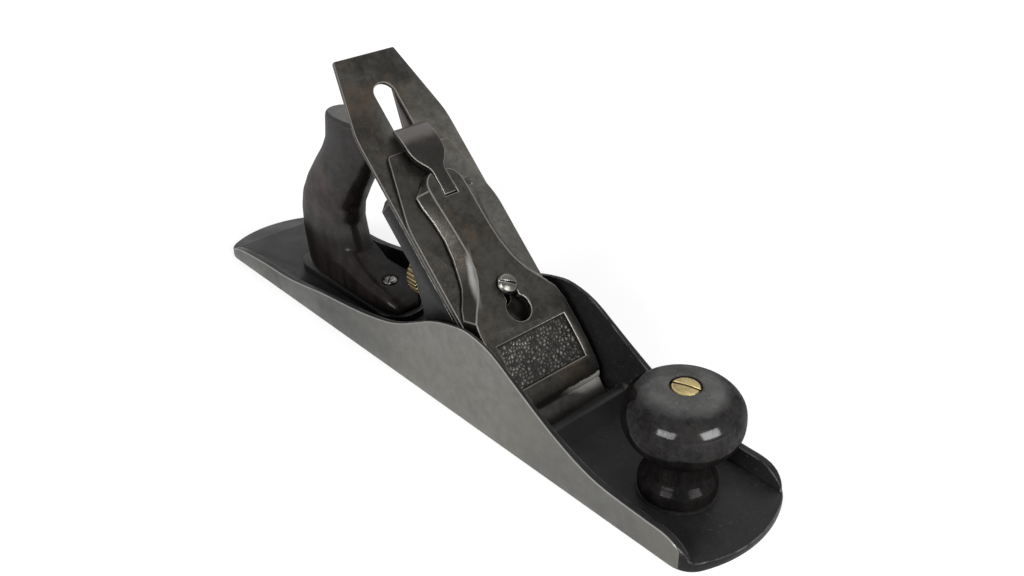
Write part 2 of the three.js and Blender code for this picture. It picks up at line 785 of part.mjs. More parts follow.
function cutterBody() {
  const half = cutterWidth / 2;
  const topHalf = cutterTopWidth / 2;
  const outline = new THREE.Shape();
  outline.moveTo(-half, cutterEdge);
  outline.lineTo(half, cutterEdge);
  outline.lineTo(half, cutterShoulder - 6);
  outline.quadraticCurveTo(half, cutterShoulder, half - 1.6, cutterShoulder + 6);
  outline.lineTo(topHalf + 0.2, cutterTop - 1);
  outline.quadraticCurveTo(topHalf, cutterTop, topHalf - 1, cutterTop);
  outline.lineTo(-topHalf + 1, cutterTop);
  outline.quadraticCurveTo(-topHalf, cutterTop, -topHalf - 0.2, cutterTop - 1);
  outline.lineTo(-half + 1.6, cutterShoulder + 6);
  outline.quadraticCurveTo(-half, cutterShoulder, -half, cutterShoulder - 6);
  const plate = solid(raised(outline, 0, cutterThickness, 6));
  const slot = solid(raised(slotShape(
    cutterSlotWidth / 2, keyholeCentre, cutterSlotTop - cutterSlotWidth / 2,
  ), -1, cutterThickness + 1));
  const keyhole = solid(rod(keyholeRadius, -1, cutterThickness + 1).translate(0, keyholeCentre, 0));
  const bevel = solid(bedSide(polygon([
    [cutterEdge - 1, -1],
    [cutterEdge + cutterBevel, -1],
    [cutterEdge + cutterBevel, 0],
    [cutterEdge, cutterThickness],
    [cutterEdge - 1, cutterThickness],
  ]), half + 1));
  return cut(plate, slot, keyhole, bevel);
}

bed.add(piece('cutter', cutterBody(), agedSteel));

function capIronBody() {
  const half = cutterWidth / 2;
  const topHalf = capIronTopWidth / 2;
  const low = cutterEdge + capIronSetback;
  const outline = new THREE.Shape();
  outline.moveTo(-half, low - 1);
  outline.lineTo(half, low - 1);
  outline.lineTo(half, capIronShoulder - 5);
  outline.quadraticCurveTo(half, capIronShoulder, half - 1.2, capIronShoulder + 5);
  outline.lineTo(topHalf + 0.4, capIronTop - 2);
  outline.quadraticCurveTo(topHalf, capIronTop, topHalf - 2, capIronTop);
  outline.lineTo(-topHalf + 2, capIronTop);
  outline.quadraticCurveTo(-topHalf, capIronTop, -topHalf - 0.4, capIronTop - 2);
  outline.lineTo(-half + 1.2, capIronShoulder + 5);
  outline.quadraticCurveTo(-half, capIronShoulder, -half, capIronShoulder - 5);
  const side = new THREE.Shape();
  side.moveTo(low, capIronBottom);
  side.quadraticCurveTo(low + 8, capIronBottom + capIronHump, low + 15, capIronBottom + capIronHump);
  side.quadraticCurveTo(low + 22, capIronBottom + capIronHump, low + 27, capIronBottom);
  side.lineTo(capIronTop + 1, capIronBottom);
  side.lineTo(capIronTop + 1, capIronFace);
  side.lineTo(low + 30, capIronFace);
  side.quadraticCurveTo(low + 24, capIronFace + capIronHump / 2, low + 17, capIronFace + capIronHump / 2);
  side.quadraticCurveTo(low + 8, capIronFace + capIronHump / 2, low, capIronBottom + 0.3);
  const plate = solid(raised(outline, 0, 12, 6)).intersect(solid(bedSide(side, half + 1, 8)));
  const screwHole = solid(rod(capScrewRadius + slip, 0, 12).translate(0, capScrewAt, 0));
  const leverScrewSlot = solid(raised(slotShape(
    leverScrewRadius + 1.2, leverScrewAt - depthBack, leverScrewAt + depthOut + 0.5,
  ), 0, 12));
  const yokeSlot = solid(raised(
    rectangle(yokeTipWidth + 3, yokeTipAt - yokeThickness / 2 - 1.6, yokeTipAt + yokeThickness / 2 + 2.2),
    0, 12,
  ));
  return cut(plate, screwHole, leverScrewSlot, yokeSlot);
}

bed.add(piece('cap_iron', capIronBody(), agedSteel));

function capIronScrew() {
  const body = solid(turned([
    [0, -gap - capScrewHeadHeight],
    [capScrewHead - 0.7, -gap - capScrewHeadHeight],
    [capScrewHead, -gap - capScrewHeadHeight + 0.7],
    [capScrewHead, -gap],
    [capScrewRadius, -gap],
    [capScrewRadius, capIronFace - 0.1],
    [capScrewRadius - 0.4, capIronFace + 0.2],
    [0, capIronFace + 0.2],
  ], 28));
  const headLow = -gap - capScrewHeadHeight;
  return cut(body, solid(screwSlot(capScrewHead, 1.6, headLow - 1, headLow + 1.6)));
}

const capIronScrewPiece = piece('cap_iron_screw', capIronScrew(), agedSteel);
capIronScrewPiece.position.set(0, capScrewAt, 0);
bed.add(capIronScrewPiece);

// ---------------------------------------------------------------- lever cap

// sections up the lever cap, from its lip: [place, half width of the skirt, half width of the face,
// height of the face above the underside], each as a share of the cap's size
const leverCapSections = [
  [0, 1, 0.985, 0.14],
  [0.012, 1, 0.985, 0.4],
  [0.035, 1, 0.985, 0.62],
  [0.074, 1, 0.985, 0.77],
  [0.145, 1, 0.985, 0.914],
  [0.215, 1, 0.985, 0.986],
  [0.339, 1, 0.985, 1],
  [0.392, 1, 0.935, 1],
  [0.427, 0.985, 0.82, 1],
  [0.467, 0.91, 0.68, 1],
  [0.506, 0.79, 0.56, 1],
  [0.541, 0.7, 0.48, 1],
  [0.581, 0.65, 0.416, 0.97],
  [0.656, 0.57, 0.368, 0.886],
  [0.735, 0.53, 0.36, 0.79],
  [0.815, 0.555, 0.368, 0.71],
  [0.885, 0.61, 0.38, 0.65],
  [0.935, 0.62, 0.378, 0.617],
  [0.95, 0.52, 0.37, 0.609],
  [0.966, 0.43, 0.35, 0.602],
  [0.985, 0.36, 0.29, 0.593],
  [1, 0.3, 0.18, 0.586],
];
const skirtEdge = 1.2;              // upright edge at the foot of the skirt

// the outer form of the lever cap, drawn in by a wall and a skin, between two places up the bed
function leverCapForm(wall, skin, low, high) {
  const place = (share) => leverCapLip + share * (leverCapTop - leverCapLip);
  const half = leverCapWidth / 2;
  const bottom = skin > 0 ? 0 : leverCapUnderside;
  const form = solid(lofted(leverCapSections.map(([share, skirt, face, level]) => {
    const foot = half * skirt - wall;
    const edge = half * face - wall;
    const top = leverCapUnderside + level * (leverCapFace - leverCapUnderside) - skin;
    const brow = edge + 0.15 * (foot - edge);
    const side = [
      [foot, bottom],
      [foot, Math.min(leverCapUnderside + skirtEdge, top) - skin * 0.3],
      [brow, top - 0.5],
      [edge, top],
    ];
    const left = side.map(([x, off]) => [-x, off]);
    return [...left, ...side.reverse()].map(([x, off]) => [x, place(share), off]);
  })));
  const reach = raised(rectangle(2 * leverCapWidth, low, high), -leverCapFace, 2 * leverCapFace);
  return form.intersect(solid(reach));
}

function leverCapBody() {
  const shell = leverCapForm(0, 0, 0, 2 * leverCapTop);
  const hollow = leverCapForm(leverCapWall, leverCapSkin, leverCapHollowLow, leverCapHollowHigh);
  const panel = solid(bedSide(polygon([
    [panelLow, leverCapFace - panelDepth - panelDip],
    [panelHigh, leverCapFace - panelDepth],
    [panelHigh, 30],
    [panelLow, 30],
  ]), panelWidth / 2));
  const bigHole = solid(rod(keyholeBigRadius, 0, 30, 28).translate(0, leverScrewAt - keyholeDrop, 0));
  const keySlot = solid(raised(slotShape(
    leverScrewRadius + 0.4, leverScrewAt - keyholeDrop, leverScrewAt,
  ), 0, 30));
  const notch = solid(raised(rectangle(notchWidth, notchLow, leverCapTop + 5), 0, 30));
  const pinHole = solid(camPinRod(camPinRadius + pinSlip, -camPinBlind - gap, leverCapWidth));
  const rivetHole = solid(springRivetRod(springRivetRadius + gap, gap));
  return cut(shell, hollow, panel, bigHole, keySlot, notch, pinHole, rivetHole);
}

function camPinRod(radius, from, to) {
  return rod(radius, from, to)
    .rotateY(Math.PI / 2)
    .translate(0, camPinAt, camPinHeight);
}

// ---------------------------------------------------------------- lever cap spring

function springRivetRod(radius, extra) {
  return rod(radius, springSeat - 2.2, springSeat + springRivetDepth + extra, 20)
    .translate(0, springRivetAt, 0);
}

function springBody() {
  const low = capIronFace + gap;
  const strip = new THREE.Shape();
  strip.moveTo(springStart, springSeat - gap - springThickness);
  strip.lineTo(springStart, springSeat - gap);
  strip.lineTo(springStart + 8, springSeat - gap);
  strip.quadraticCurveTo(springStart + 12, low + springThickness, springStart + 15, low + springThickness);
  strip.lineTo(springEnd, low + springThickness);
  strip.lineTo(springEnd, low);
  strip.lineTo(springStart + 14.8, low);
  strip.quadraticCurveTo(springStart + 11, low, springStart + 7.8, springSeat - gap - springThickness);
  const body = solid(bedSide(strip, springWidth / 2));
  return cut(body, solid(springRivetRod(springRivetRadius + gap, 5)));
}

function springRivet() {
  const headTop = springSeat - 2 * gap - springThickness;
  return solid(turned([
    [0, headTop - 0.8],
    [springRivetRadius + 0.6, headTop - 0.8],
    [springRivetRadius + 1.2, headTop],
    [springRivetRadius, headTop],
    [springRivetRadius, springSeat + springRivetDepth],
    [0, springSeat + springRivetDepth],
  ], 20).translate(0, springRivetAt, 0));
}

bed.add(piece('lever_cap', leverCapBody(), agedSteel));
bed.add(piece('lever_cap_spring', springBody(), darkSteel));
bed.add(piece('spring_rivet', springRivet(), agedSteel));
bed.add(piece('cam_pin', solid(camPinRod(camPinRadius, -camPinBlind, camPinOpen)), agedSteel));

function leverCapScrew() {
  const under = leverCapFace + gap;
  const body = solid(turned([
    [0, -frogPlate + 0.5],
    [leverScrewRadius, -frogPlate + 0.5],
    [leverScrewRadius, under],
    [leverScrewHead, under],
    [leverScrewHead, under + 1],
    [leverScrewHead * 0.82, under + 2.1],
    [leverScrewHead * 0.45, under + 2.8],
    [0, under + leverScrewHeadHeight],
  ], 28));
  return cut(body, solid(screwSlot(leverScrewHead, 1.1, under + 1.2, under + 5, 1.05)));
}

const leverCapScrewPiece = piece('lever_cap_screw', leverCapScrew(), brightSteel);
leverCapScrewPiece.position.set(0, leverScrewAt, 0);
bed.add(leverCapScrewPiece);

// ---------------------------------------------------------------- cam lever

function camLeverBody() {
  const neck = camNeckWidth / 2;
  const paddle = camPaddleWidth / 2;
  const corner = 3;
  const outline = new THREE.Shape();
  outline.moveTo(-neck, camPinAt - camRadius);
  outline.lineTo(neck, camPinAt - camRadius);
  outline.lineTo(neck, camPinAt + 8);
  outline.bezierCurveTo(neck, camPinAt + 13, paddle - 0.9, camPinAt + 13, paddle, camPinAt + 21);
  outline.lineTo(paddle, camLeverTop - corner);
  outline.quadraticCurveTo(paddle, camLeverTop, paddle - corner, camLeverTop + 0.1);
  outline.lineTo(-paddle + corner, camLeverTop + 0.1);
  outline.quadraticCurveTo(-paddle, camLeverTop, -paddle, camLeverTop - corner);
  outline.lineTo(-paddle, camPinAt + 21);
  outline.bezierCurveTo(-paddle + 0.9, camPinAt + 13, -neck, camPinAt + 13, -neck, camPinAt + 8);
  const crest = camPinHeight + 2.3;
  const inside = crest - camLeverThickness;
  const side = new THREE.Shape();
  side.moveTo(camPinAt - 2.4, camPinHeight + 1.6);
  side.lineTo(camPinAt + 2, crest);
  side.lineTo(camPinAt + 14, crest);
  side.bezierCurveTo(camPinAt + 20, crest, camPinAt + 22, crest - 0.5, camLeverTop - 9, crest - 0.9);
  side.bezierCurveTo(camLeverTop - 4, crest - 1.4, camLeverTop - 0.6, crest - 3, camLeverTop, camLeverTip);
  side.lineTo(camLeverTop - 1.4, camLeverTip - 0.3);
  side.bezierCurveTo(
    camLeverTop - 2.6, inside - 1.4,
    camLeverTop - 6, inside - 0.9,
    camLeverTop - 10, inside - 0.6,
  );
  side.lineTo(camPinAt + 14, inside + 0.2);
  side.bezierCurveTo(
    camPinAt + 11, inside + 0.2,
    camPinAt + 10, camPinHeight - 1.8,
    camPinAt + 6, camPinHeight - 2,
  );
  side.lineTo(camPinAt, camPinHeight - camRadius);
  side.absarc(camPinAt, camPinHeight, camRadius, -Math.PI / 2, -Math.PI, true);
  const body = solid(raised(outline, 0, 30, 10)).intersect(solid(bedSide(side, camPaddleWidth, 8)));
  return cut(body, solid(camPinRod(camPinRadius + pinSlip, -camPaddleWidth, camPaddleWidth)));
}

bed.add(piece('cam_lever', camLeverBody(), darkSteel));

// ---------------------------------------------------------------- lateral lever

// drawn with its pivot at the origin and its arm along Y
function lateralLeverBody() {
  const half = lateralWidth / 2;
  const tip = lateralTipWidth / 2;
  const foot = rollerRadius + 2.6;
  const outline = new THREE.Shape();
  outline.moveTo(-half, 10);
  outline.bezierCurveTo(-half, 2, -foot, 2, -foot, -rollerDrop);
  outline.absarc(0, -rollerDrop, foot, Math.PI, 2 * Math.PI, false);
  outline.bezierCurveTo(foot, 2, half, 2, half, 10);
  outline.lineTo(half, 24);
  outline.lineTo(tip, lateralLength);
  outline.lineTo(-tip, lateralLength);
  outline.lineTo(-half, 24);
  const low = -lateralThickness - 0.7;
  const strap = solid(raised(outline, low, low + lateralThickness, 8));
  const tab = solid(bedSide(polygon([
    [lateralLength - lateralThickness, low + 0.5],
    [lateralLength - lateralThickness, low - 6],
    [lateralLength + 2, low - 11],
    [lateralLength + 3.2, low - 10],
    [lateralLength, low - 5.2],
    [lateralLength, low + lateralThickness],
    [lateralLength - lateralThickness, low + lateralThickness],
  ]), tip));
  const rollerHole = solid(rod(1.6 + slip, -9, 3, 20).translate(0, -rollerDrop, 0));
  const pivotHole = solid(rod(2 + slip, -9, 3, 20));
  return cut(join(strap, tab), rollerHole, pivotHole);
}

function lateralRoller() {
  return solid(turned([
    [0, -0.7 - lateralThickness],
    [1.6, -0.7 - lateralThickness],
    [1.6, -0.4],
    [rollerRadius, -0.4],
    [rollerRadius, cutterThickness - 0.3],
    [0, cutterThickness - 0.3],
  ], 24).translate(0, -rollerDrop, 0));
}

const lateral = new THREE.Group();
lateral.position.set(0, lateralPivotAt, 0);
lateral.rotation.z = -lateralLean;
lateral.add(piece('lateral_lever', lateralLeverBody(), darkSteel));
lateral.add(piece('lateral_roller', lateralRoller(), brightSteel));
bed.add(lateral);

const lateralPivot = piece('lateral_pivot', solid(turned([
  [0, -7.6],
  [2, -7.6],
  [2, -0.4],
  [rollerDrop - rollerRadius - gap, -0.4],
  [rollerDrop - rollerRadius - gap - 0.5, 0.6],
  [0, 0.9],
], 24)), brightSteel);
lateralPivot.position.set(0, lateralPivotAt, 0);
bed.add(lateralPivot);

// ---------------------------------------------------------------- yoke

// the yoke turns on a pin behind the bed: its finger sets the cap iron, its fork rides the collar
function yokeBody() {
  const half = prongThickness / 2;
  const tip = [-1, 1].map((side) => bedPoint(yokeTipAt + side * yokeThickness / 2, yokeTipHeight));
  const root = [-1, 1].map((side) => bedPoint(yokeTipAt + side * yokeThickness / 2, -3));
  const finger = solid(sideCut(polygon([
    tip[0],
    tip[1],
    root[1],
    [yokePinX + 1, yokePinZ + 4.2],
    [yokePinX - 2, yokePinZ],
    [yokePinX + 1, yokePinZ - 4.2],
    [yokePinX + 5.5, yokePinZ - 1.5],
    root[0],
  ].reverse()), -yokeTipWidth / 2, yokeTipWidth / 2));
  const hub = solid(rod(3.8, -yokeWidth / 2, yokeWidth / 2)
    .rotateX(Math.PI / 2).translate(yokePinX, 0, yokePinZ));
  const inner = grooveRadius + slip;
  const outer = collarRadius + 1.6;
  const bridge = studHeight + collarRadius + 3.2;
  const arm = solid(sideCut(polygon([
    [collarX - half, bridge],
    [collarX + half + 2.6, bridge],
    [yokePinX + 2, yokePinZ - 4.4],
    [yokePinX - 2, yokePinZ + 4.2],
    [collarX - half, bridge + 4.6],
  ]), -yokeWidth / 2, yokeWidth / 2));
  const yokeBar = solid(sideCut(polygon([
    [collarX - half, bridge],
    [collarX + half + 1, bridge],
    [collarX + half + 2.6, bridge + 4.6],
    [collarX - half, bridge + 4.6],
  ]), -outer, outer));
  const prongs = [-1, 1].map((side) => solid(sideCut(
    rectangle(prongThickness, studHeight - 3, bridge + 1, collarX),
    side > 0 ? inner : -outer, side > 0 ? outer : -inner,
  )));
  const pinHole = solid(rod(yokePinRadius + slip, -9, 9, 20)
    .rotateX(Math.PI / 2).translate(yokePinX, 0, yokePinZ));
  return cut(join(hub, finger, arm, yokeBar, ...prongs), pinHole);
}

group.add(piece('yoke', yokeBody(), japannedIron));
group.add(piece('yoke_pin', solid(rod(yokePinRadius, -yokeWidth / 2 - 3.9, yokeWidth / 2 + 3.9, 20)
  .rotateX(Math.PI / 2).translate(yokePinX, 0, yokePinZ)), agedSteel));

// ---------------------------------------------------------------- depth screw

// pieces on the stud are turned about Z and then laid down, so that +Z points to the heel
function onStud(part) {
  part.rotation.y = -Math.PI / 2;
  part.position.set(0, 0, studHeight);
  return part;
}

const stud = solid(turned([
  [0, -studFront],
  [studRadius, -studFront],
  [studRadius, -studBack - 0.8],
  [studRadius - 0.8, -studBack],
  [0, -studBack],
], 24));

function collarBody() {
  const bore = studRadius + slip;
  const back = -collarX + grooveWidth / 2;
  const front = -collarX - grooveWidth / 2;
  return solid(turned([
    [bore, front - collarFlange],
    [collarRadius, front - collarFlange],
    [collarRadius, front],
    [grooveRadius, front],
    [grooveRadius, back],
    [collarRadius, back],
    [collarRadius, back + collarFlange],
    [bore, back + collarFlange],
    [bore, front - collarFlange],
  ], 24));
}

function wheelBody() {
  const from = -collarX + grooveWidth / 2 + collarFlange + gap;
  const rim = new THREE.Shape();
  for (let tooth = 0; tooth < wheelTeeth; tooth += 1) {
    for (const [part, radius] of [[0, wheelRadius], [0.45, wheelRadius], [0.75, wheelRadius - 0.7]]) {
      const angle = (tooth + part) / wheelTeeth * 2 * Math.PI;
      const place = [radius * Math.cos(angle), radius * Math.sin(angle)];
      if (tooth === 0 && part === 0) rim.moveTo(...place);
      else rim.lineTo(...place);
    }
  }
  const disc = solid(raised(rim, from, from + wheelWidth));
  const bore = solid(rod(studRadius + slip, 0, 60, 24));
  const dish = ring(wheelRadius - 2.6, studRadius + 3, from + wheelWidth - 1.6, from + wheelWidth + 2, 32);
  return cut(disc, bore, dish);
}

group.add(onStud(piece('depth_stud', stud, agedSteel)));
group.add(onStud(piece('depth_collar', collarBody(), brass)));
group.add(onStud(piece('depth_wheel', wheelBody(), brass)));

// ---------------------------------------------------------------- knob, nuts and bolts

// a slotted brass nut with a long barrel; its face is at zero
function barrelNut() {
  const bore = boltRadius + slip;
  const body = solid(turned([
    [0, -5],
    [bore, -5],
    [bore, -nutLength],
    [nutBarrel, -nutLength],
    [nutBarrel, -nutHeadHeight],
    [nutRadius, -nutHeadHeight],
    [nutRadius, -0.8],
    [nutRadius - 0.7, -0.15],
    [0, 0.2],
  ], 24));
  return cut(body, solid(screwSlot(nutRadius, 1.2, -1.3, 2)));
}

// the hole that takes a barrel nut and its bolt, measured down from the nut's face
function nutHole(depth) {
  return [
    solid(rod(nutRadius + pinSlip, -nutHeadHeight - gap, 12)),
    solid(rod(nutBarrel + slip, -nutLength - 2, 0)),
    solid(rod(boltRadius + slip, -depth, 0)),
  ];
}

function knobBody() {
  const bottom = floorThickness + knobBossHeight + gap;
  const height = knobTop - bottom;
  const edge = new THREE.SplineCurve([
    [knobBaseRadius, 0.02],
    [knobBaseRadius, 0.105],
    [knobNeckRadius + 2.3, 0.15],
    [knobNeckRadius + 0.6, 0.2],
    [knobNeckRadius, 0.28],
    [knobNeckRadius + 0.6, 0.37],
    [knobNeckRadius + 4.6, 0.45],
    [knobRadius * 0.88, 0.53],
    [knobRadius * 0.975, 0.62],
    [knobRadius, 0.72],
    [knobRadius * 0.965, 0.825],
    [knobRadius * 0.82, 0.915],
    [knobRadius * 0.58, 0.977],
    [nutRadius + 2, 1],
  ].map(([radius, share]) => new THREE.Vector2(radius, bottom + share * height))).getPoints(17);
  const body = solid(turned([
    [0, bottom],
    [knobBaseRadius - 0.8, bottom],
    ...edge.map((point) => [point.x, point.y]),
    [0, knobTop],
  ], 32));
  return cut(body, ...nutHole(knobTop).map((tool) => tool.translate([0, 0, knobTop])));
}

const boltTop = -5.6;                // top of either bolt, below the face of its nut
const knob = piece('front_knob', knobBody(), stainedWood);
const knobNut = piece('knob_nut', barrelNut(), brass);
const knobRod = rod(boltRadius, knobBoltFoot, knobTop + boltTop);
const knobBolt = piece('knob_bolt', solid(knobRod), agedSteel);
knobNut.position.z = knobTop;
knobNut.rotation.z = 1.48;
for (const part of [knob, knobNut, knobBolt]) {
  part.position.x = knobX;
  group.add(part);
}

// ---------------------------------------------------------------- handle

// sections up the grip: [height, back, front, half width], each as a share of the handle's size
const gripSections = [
  [0, 0.004, 0.68, 0.94],
  [0.07, 0, 0.64, 0.97],
  [0.15, 0, 0.59, 0.99],
  [0.25, 0, 0.55, 1],
  [0.36, 0.015, 0.52, 1],
  [0.46, 0.05, 0.54, 1],
  [0.57, 0.125, 0.615, 0.99],
  [0.68, 0.22, 0.7, 0.95],
  [0.775, 0.31, 0.755, 0.9],
  [0.85, 0.362, 0.785, 0.86],
  [0.92, 0.37, 0.8, 0.83],
  [0.985, 0.377, 0.805, 0.8],
  [1, 0.395, 0.785, 0.72],
];
// sections along the foot: [place, height, half width]
const footSections = [
  [0.4, 0.25, 0.96],
  [0.52, 0.235, 0.97],
  [0.59, 0.19, 0.98],
  [0.66, 0.152, 0.98],
  [0.75, 0.126, 0.97],
  [0.86, 0.108, 0.93],
  [0.93, 0.082, 0.84],
  [0.977, 0.05, 0.68],
  [1, 0.02, 0.5],
];

function handleBody() {
  const bottom = handlePadHeight + gap;
  const height = handleTop - bottom;
  const half = handleWidth / 2;
  const grip = solid(lofted(gripSections.map(([level, back, front, wide]) => {
    const middle = handleBack + (back + front) / 2 * handleLength;
    return oval((front - back) / 2 * handleLength, half * wide, 2.3, 22)
      .map(([x, y]) => [middle + x, y, bottom + level * height]);
  })));
  const foot = solid(lofted(footSections.map(([place, level, wide]) => [
    ...oval(half * wide, level * height, 3.6, 10, Math.PI),
    [-half * wide, 0],
  ].map(([y, z]) => [handleBack + place * handleLength, y, bottom + z]))));
  const bolt = nutHole(handleTop * 1.2).map((tool) => tool
    .rotate([0, THREE.MathUtils.radToDeg(handleBoltLean), 0])
    .translate([handleBoltX, 0, handleTop]));
  const screwHole = rod(toeScrewRadius + slip, 0, handleTop / 2).translate(toeScrewX, 0, 0);
  const countersink = rod(toeScrewHead + slip, toeScrewTop - toeScrewHeadHeight - gap, handleTop / 2)
    .translate(toeScrewX, 0, 0);
  return cut(join(grip, foot), ...bolt, solid(screwHole), solid(countersink));
}

const handleNut = piece('handle_nut', barrelNut(), brass);
handleNut.rotation.y = handleBoltLean;
handleNut.position.set(handleBoltX, 0, handleTop);
group.add(piece('handle', handleBody(), stainedWood));
group.add(handleNut);
group.add(piece('handle_bolt', solid(handleBolt(boltRadius, -gap, 0, boltTop)), agedSteel));

const toeScrew = piece('handle_toe_screw', cut(solid(turned([
  [0, toeScrewFoot],
  [toeScrewRadius, toeScrewFoot],
  [toeScrewRadius, toeScrewTop - toeScrewHeadHeight],
  [toeScrewHead, toeScrewTop - toeScrewHeadHeight],
  [toeScrewHead, toeScrewTop - 1.2],
  [toeScrewHead * 0.7, toeScrewTop - 0.3],
  [0, toeScrewTop],
], 24)), solid(screwSlot(toeScrewHead, 1, toeScrewTop - 1.3, toeScrewTop + 1, 0.7))), brightSteel);
toeScrew.position.x = toeScrewX;
group.add(toeScrew);

export default group;
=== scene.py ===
import json
import math

import bmesh
import bpy
import mathutils
from mathutils import Matrix, Vector


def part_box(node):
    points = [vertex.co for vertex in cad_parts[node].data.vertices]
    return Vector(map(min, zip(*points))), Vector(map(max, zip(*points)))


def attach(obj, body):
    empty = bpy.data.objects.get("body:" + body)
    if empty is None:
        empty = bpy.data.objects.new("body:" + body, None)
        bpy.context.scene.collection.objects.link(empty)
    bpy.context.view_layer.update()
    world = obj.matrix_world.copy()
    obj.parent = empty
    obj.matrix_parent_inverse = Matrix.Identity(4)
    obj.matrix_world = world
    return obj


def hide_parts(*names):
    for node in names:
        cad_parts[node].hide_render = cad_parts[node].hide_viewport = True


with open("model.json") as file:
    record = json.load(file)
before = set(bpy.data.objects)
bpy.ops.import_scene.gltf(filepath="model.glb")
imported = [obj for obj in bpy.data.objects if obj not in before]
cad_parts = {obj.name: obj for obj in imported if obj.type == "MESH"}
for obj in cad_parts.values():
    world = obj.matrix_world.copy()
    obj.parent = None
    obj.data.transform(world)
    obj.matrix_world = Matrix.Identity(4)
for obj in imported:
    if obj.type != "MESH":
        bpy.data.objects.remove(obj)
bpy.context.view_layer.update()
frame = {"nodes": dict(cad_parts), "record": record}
nodes = frame["nodes"]
bodies = frame["record"]["behaviour"]["bodies"]
body_of = {node: body for body, above_foot in bodies.items() for node in above_foot}

MM = 0.001
scene = bpy.context.scene

# ---------------------------------------------------------------- camera, light and floor

CAMERA_AT = Vector((0.3217, -0.2476, 0.2750))
CAMERA_AIM = Vector((-0.0492, 0.0820, -0.0184))
CAMERA_ROLL = -0.0166
CAMERA_LENS = 35.09
CAMERA_FILM = 36

FILL = 0.3                           # strength of the plain light from all round
SIDE_LAMPS_APART = math.radians(38)  # from the camera's azimuth, to either side
SIDE_LAMPS_UP = math.radians(25)
SIDE_LAMPS_AWAY = 1.5
SIDE_LAMPS_SIZE = (0.75, 0.6)
SIDE_LAMPS_POWER = 20
TOP_LAMP_ROUND = math.radians(170)   # from the camera's azimuth
TOP_LAMP_UP = math.radians(60)
TOP_LAMP_AWAY = 1.6
TOP_LAMP_SIZE = (2.4, 2.0)
TOP_LAMP_POWER = 8
LAMPS_AIM = Vector((0, 0, 0.04))

FLOOR_SIZE = 6
FLOOR_DROP = 0.2 * MM                # below the sole, so that the two faces don't meet
FLOOR_GREY = 0.5
FLOOR_GLOW = 0.56                    # in the middle; it is 1 from the second of these distances on
FLOOR_GLOW_RISES = 0.3
FLOOR_GLOW_FULL = 1


def look_down():
    """A camera that looks down over the toe and the right cheek."""
    back = (CAMERA_AT - CAMERA_AIM).normalized()
    right = Vector((0, 0, 1)).cross(back).normalized()
    up = back.cross(right)
    turn = Matrix((right, up, back)).transposed() @ Matrix.Rotation(CAMERA_ROLL, 3, "Z")
    data = bpy.data.cameras.new("camera")
    data.lens = CAMERA_LENS
    data.sensor_width = CAMERA_FILM
    data.clip_start = 0.01
    camera = bpy.data.objects.new("camera", data)
    camera.matrix_world = Matrix.Translation(CAMERA_AT) @ turn.to_4x4()
    scene.collection.objects.link(camera)
    scene.camera = camera


def soft_lamp(name, azimuth, elevation, distance, size, power):
    """A rectangular lamp aimed at the object; the azimuth is counted from +X towards +Y."""
    flat = distance * math.cos(elevation)
    place = Vector((flat * math.cos(azimuth), flat * math.sin(azimuth), distance * math.sin(elevation)))
    data = bpy.data.lights.new(name, "AREA")
    data.shape = "RECTANGLE"
    data.size, data.size_y = size
    data.energy = power
    lamp = bpy.data.objects.new(name, data)
    lamp.location = place
    lamp.rotation_euler = (LAMPS_AIM - place).to_track_quat("-Z", "Y").to_euler()
    scene.collection.objects.link(lamp)


def give(tree, entry, value):
    """Sets an input to a number or a colour, or links it to a socket."""
    if isinstance(value, bpy.types.NodeSocket):
        tree.links.new(value, entry)
    else:
        entry.default_value = value


def node(tree, kind, *values, **named):
    """Adds a node and returns its outputs.

    Values in order, or by name, are numbers, colours or sockets. Names in lower case are its settings.
    """
    made = tree.nodes.new("ShaderNode" + kind)
    for name in [name for name in named if name.islower()]:
        setattr(made, name, named.pop(name))
    given = list(enumerate(values)) + [(name.replace("_", " "), value) for name, value in named.items()]
    for name, value in given:
        give(tree, made.inputs[name], value)
    return made.outputs


def seen_rays(tree):
    """A mask that is 1 for rays from the camera and for rays mirrored or passed on by a surface."""
    path = node(tree, "LightPath")
    mirrored = node(tree, "Math", path["Is Camera Ray"], path["Is Glossy Ray"], operation="MAXIMUM")[0]
    return node(tree, "Math", mirrored, path["Is Transmission Ray"], operation="MAXIMUM")[0]


def surroundings():
    """White to the camera and in reflections, and a plain soft light on everything else."""
    world = bpy.data.worlds.new("surroundings")
    scene.world = world
    world.use_nodes = True
    tree = world.node_tree
    background = tree.nodes["Background"]
    give(tree, background.inputs["Color"], (1, 1, 1, 1))
    level = node(tree, "MapRange", seen_rays(tree), To_Min=FILL, To_Max=1)[0]
    give(tree, background.inputs["Strength"], level)


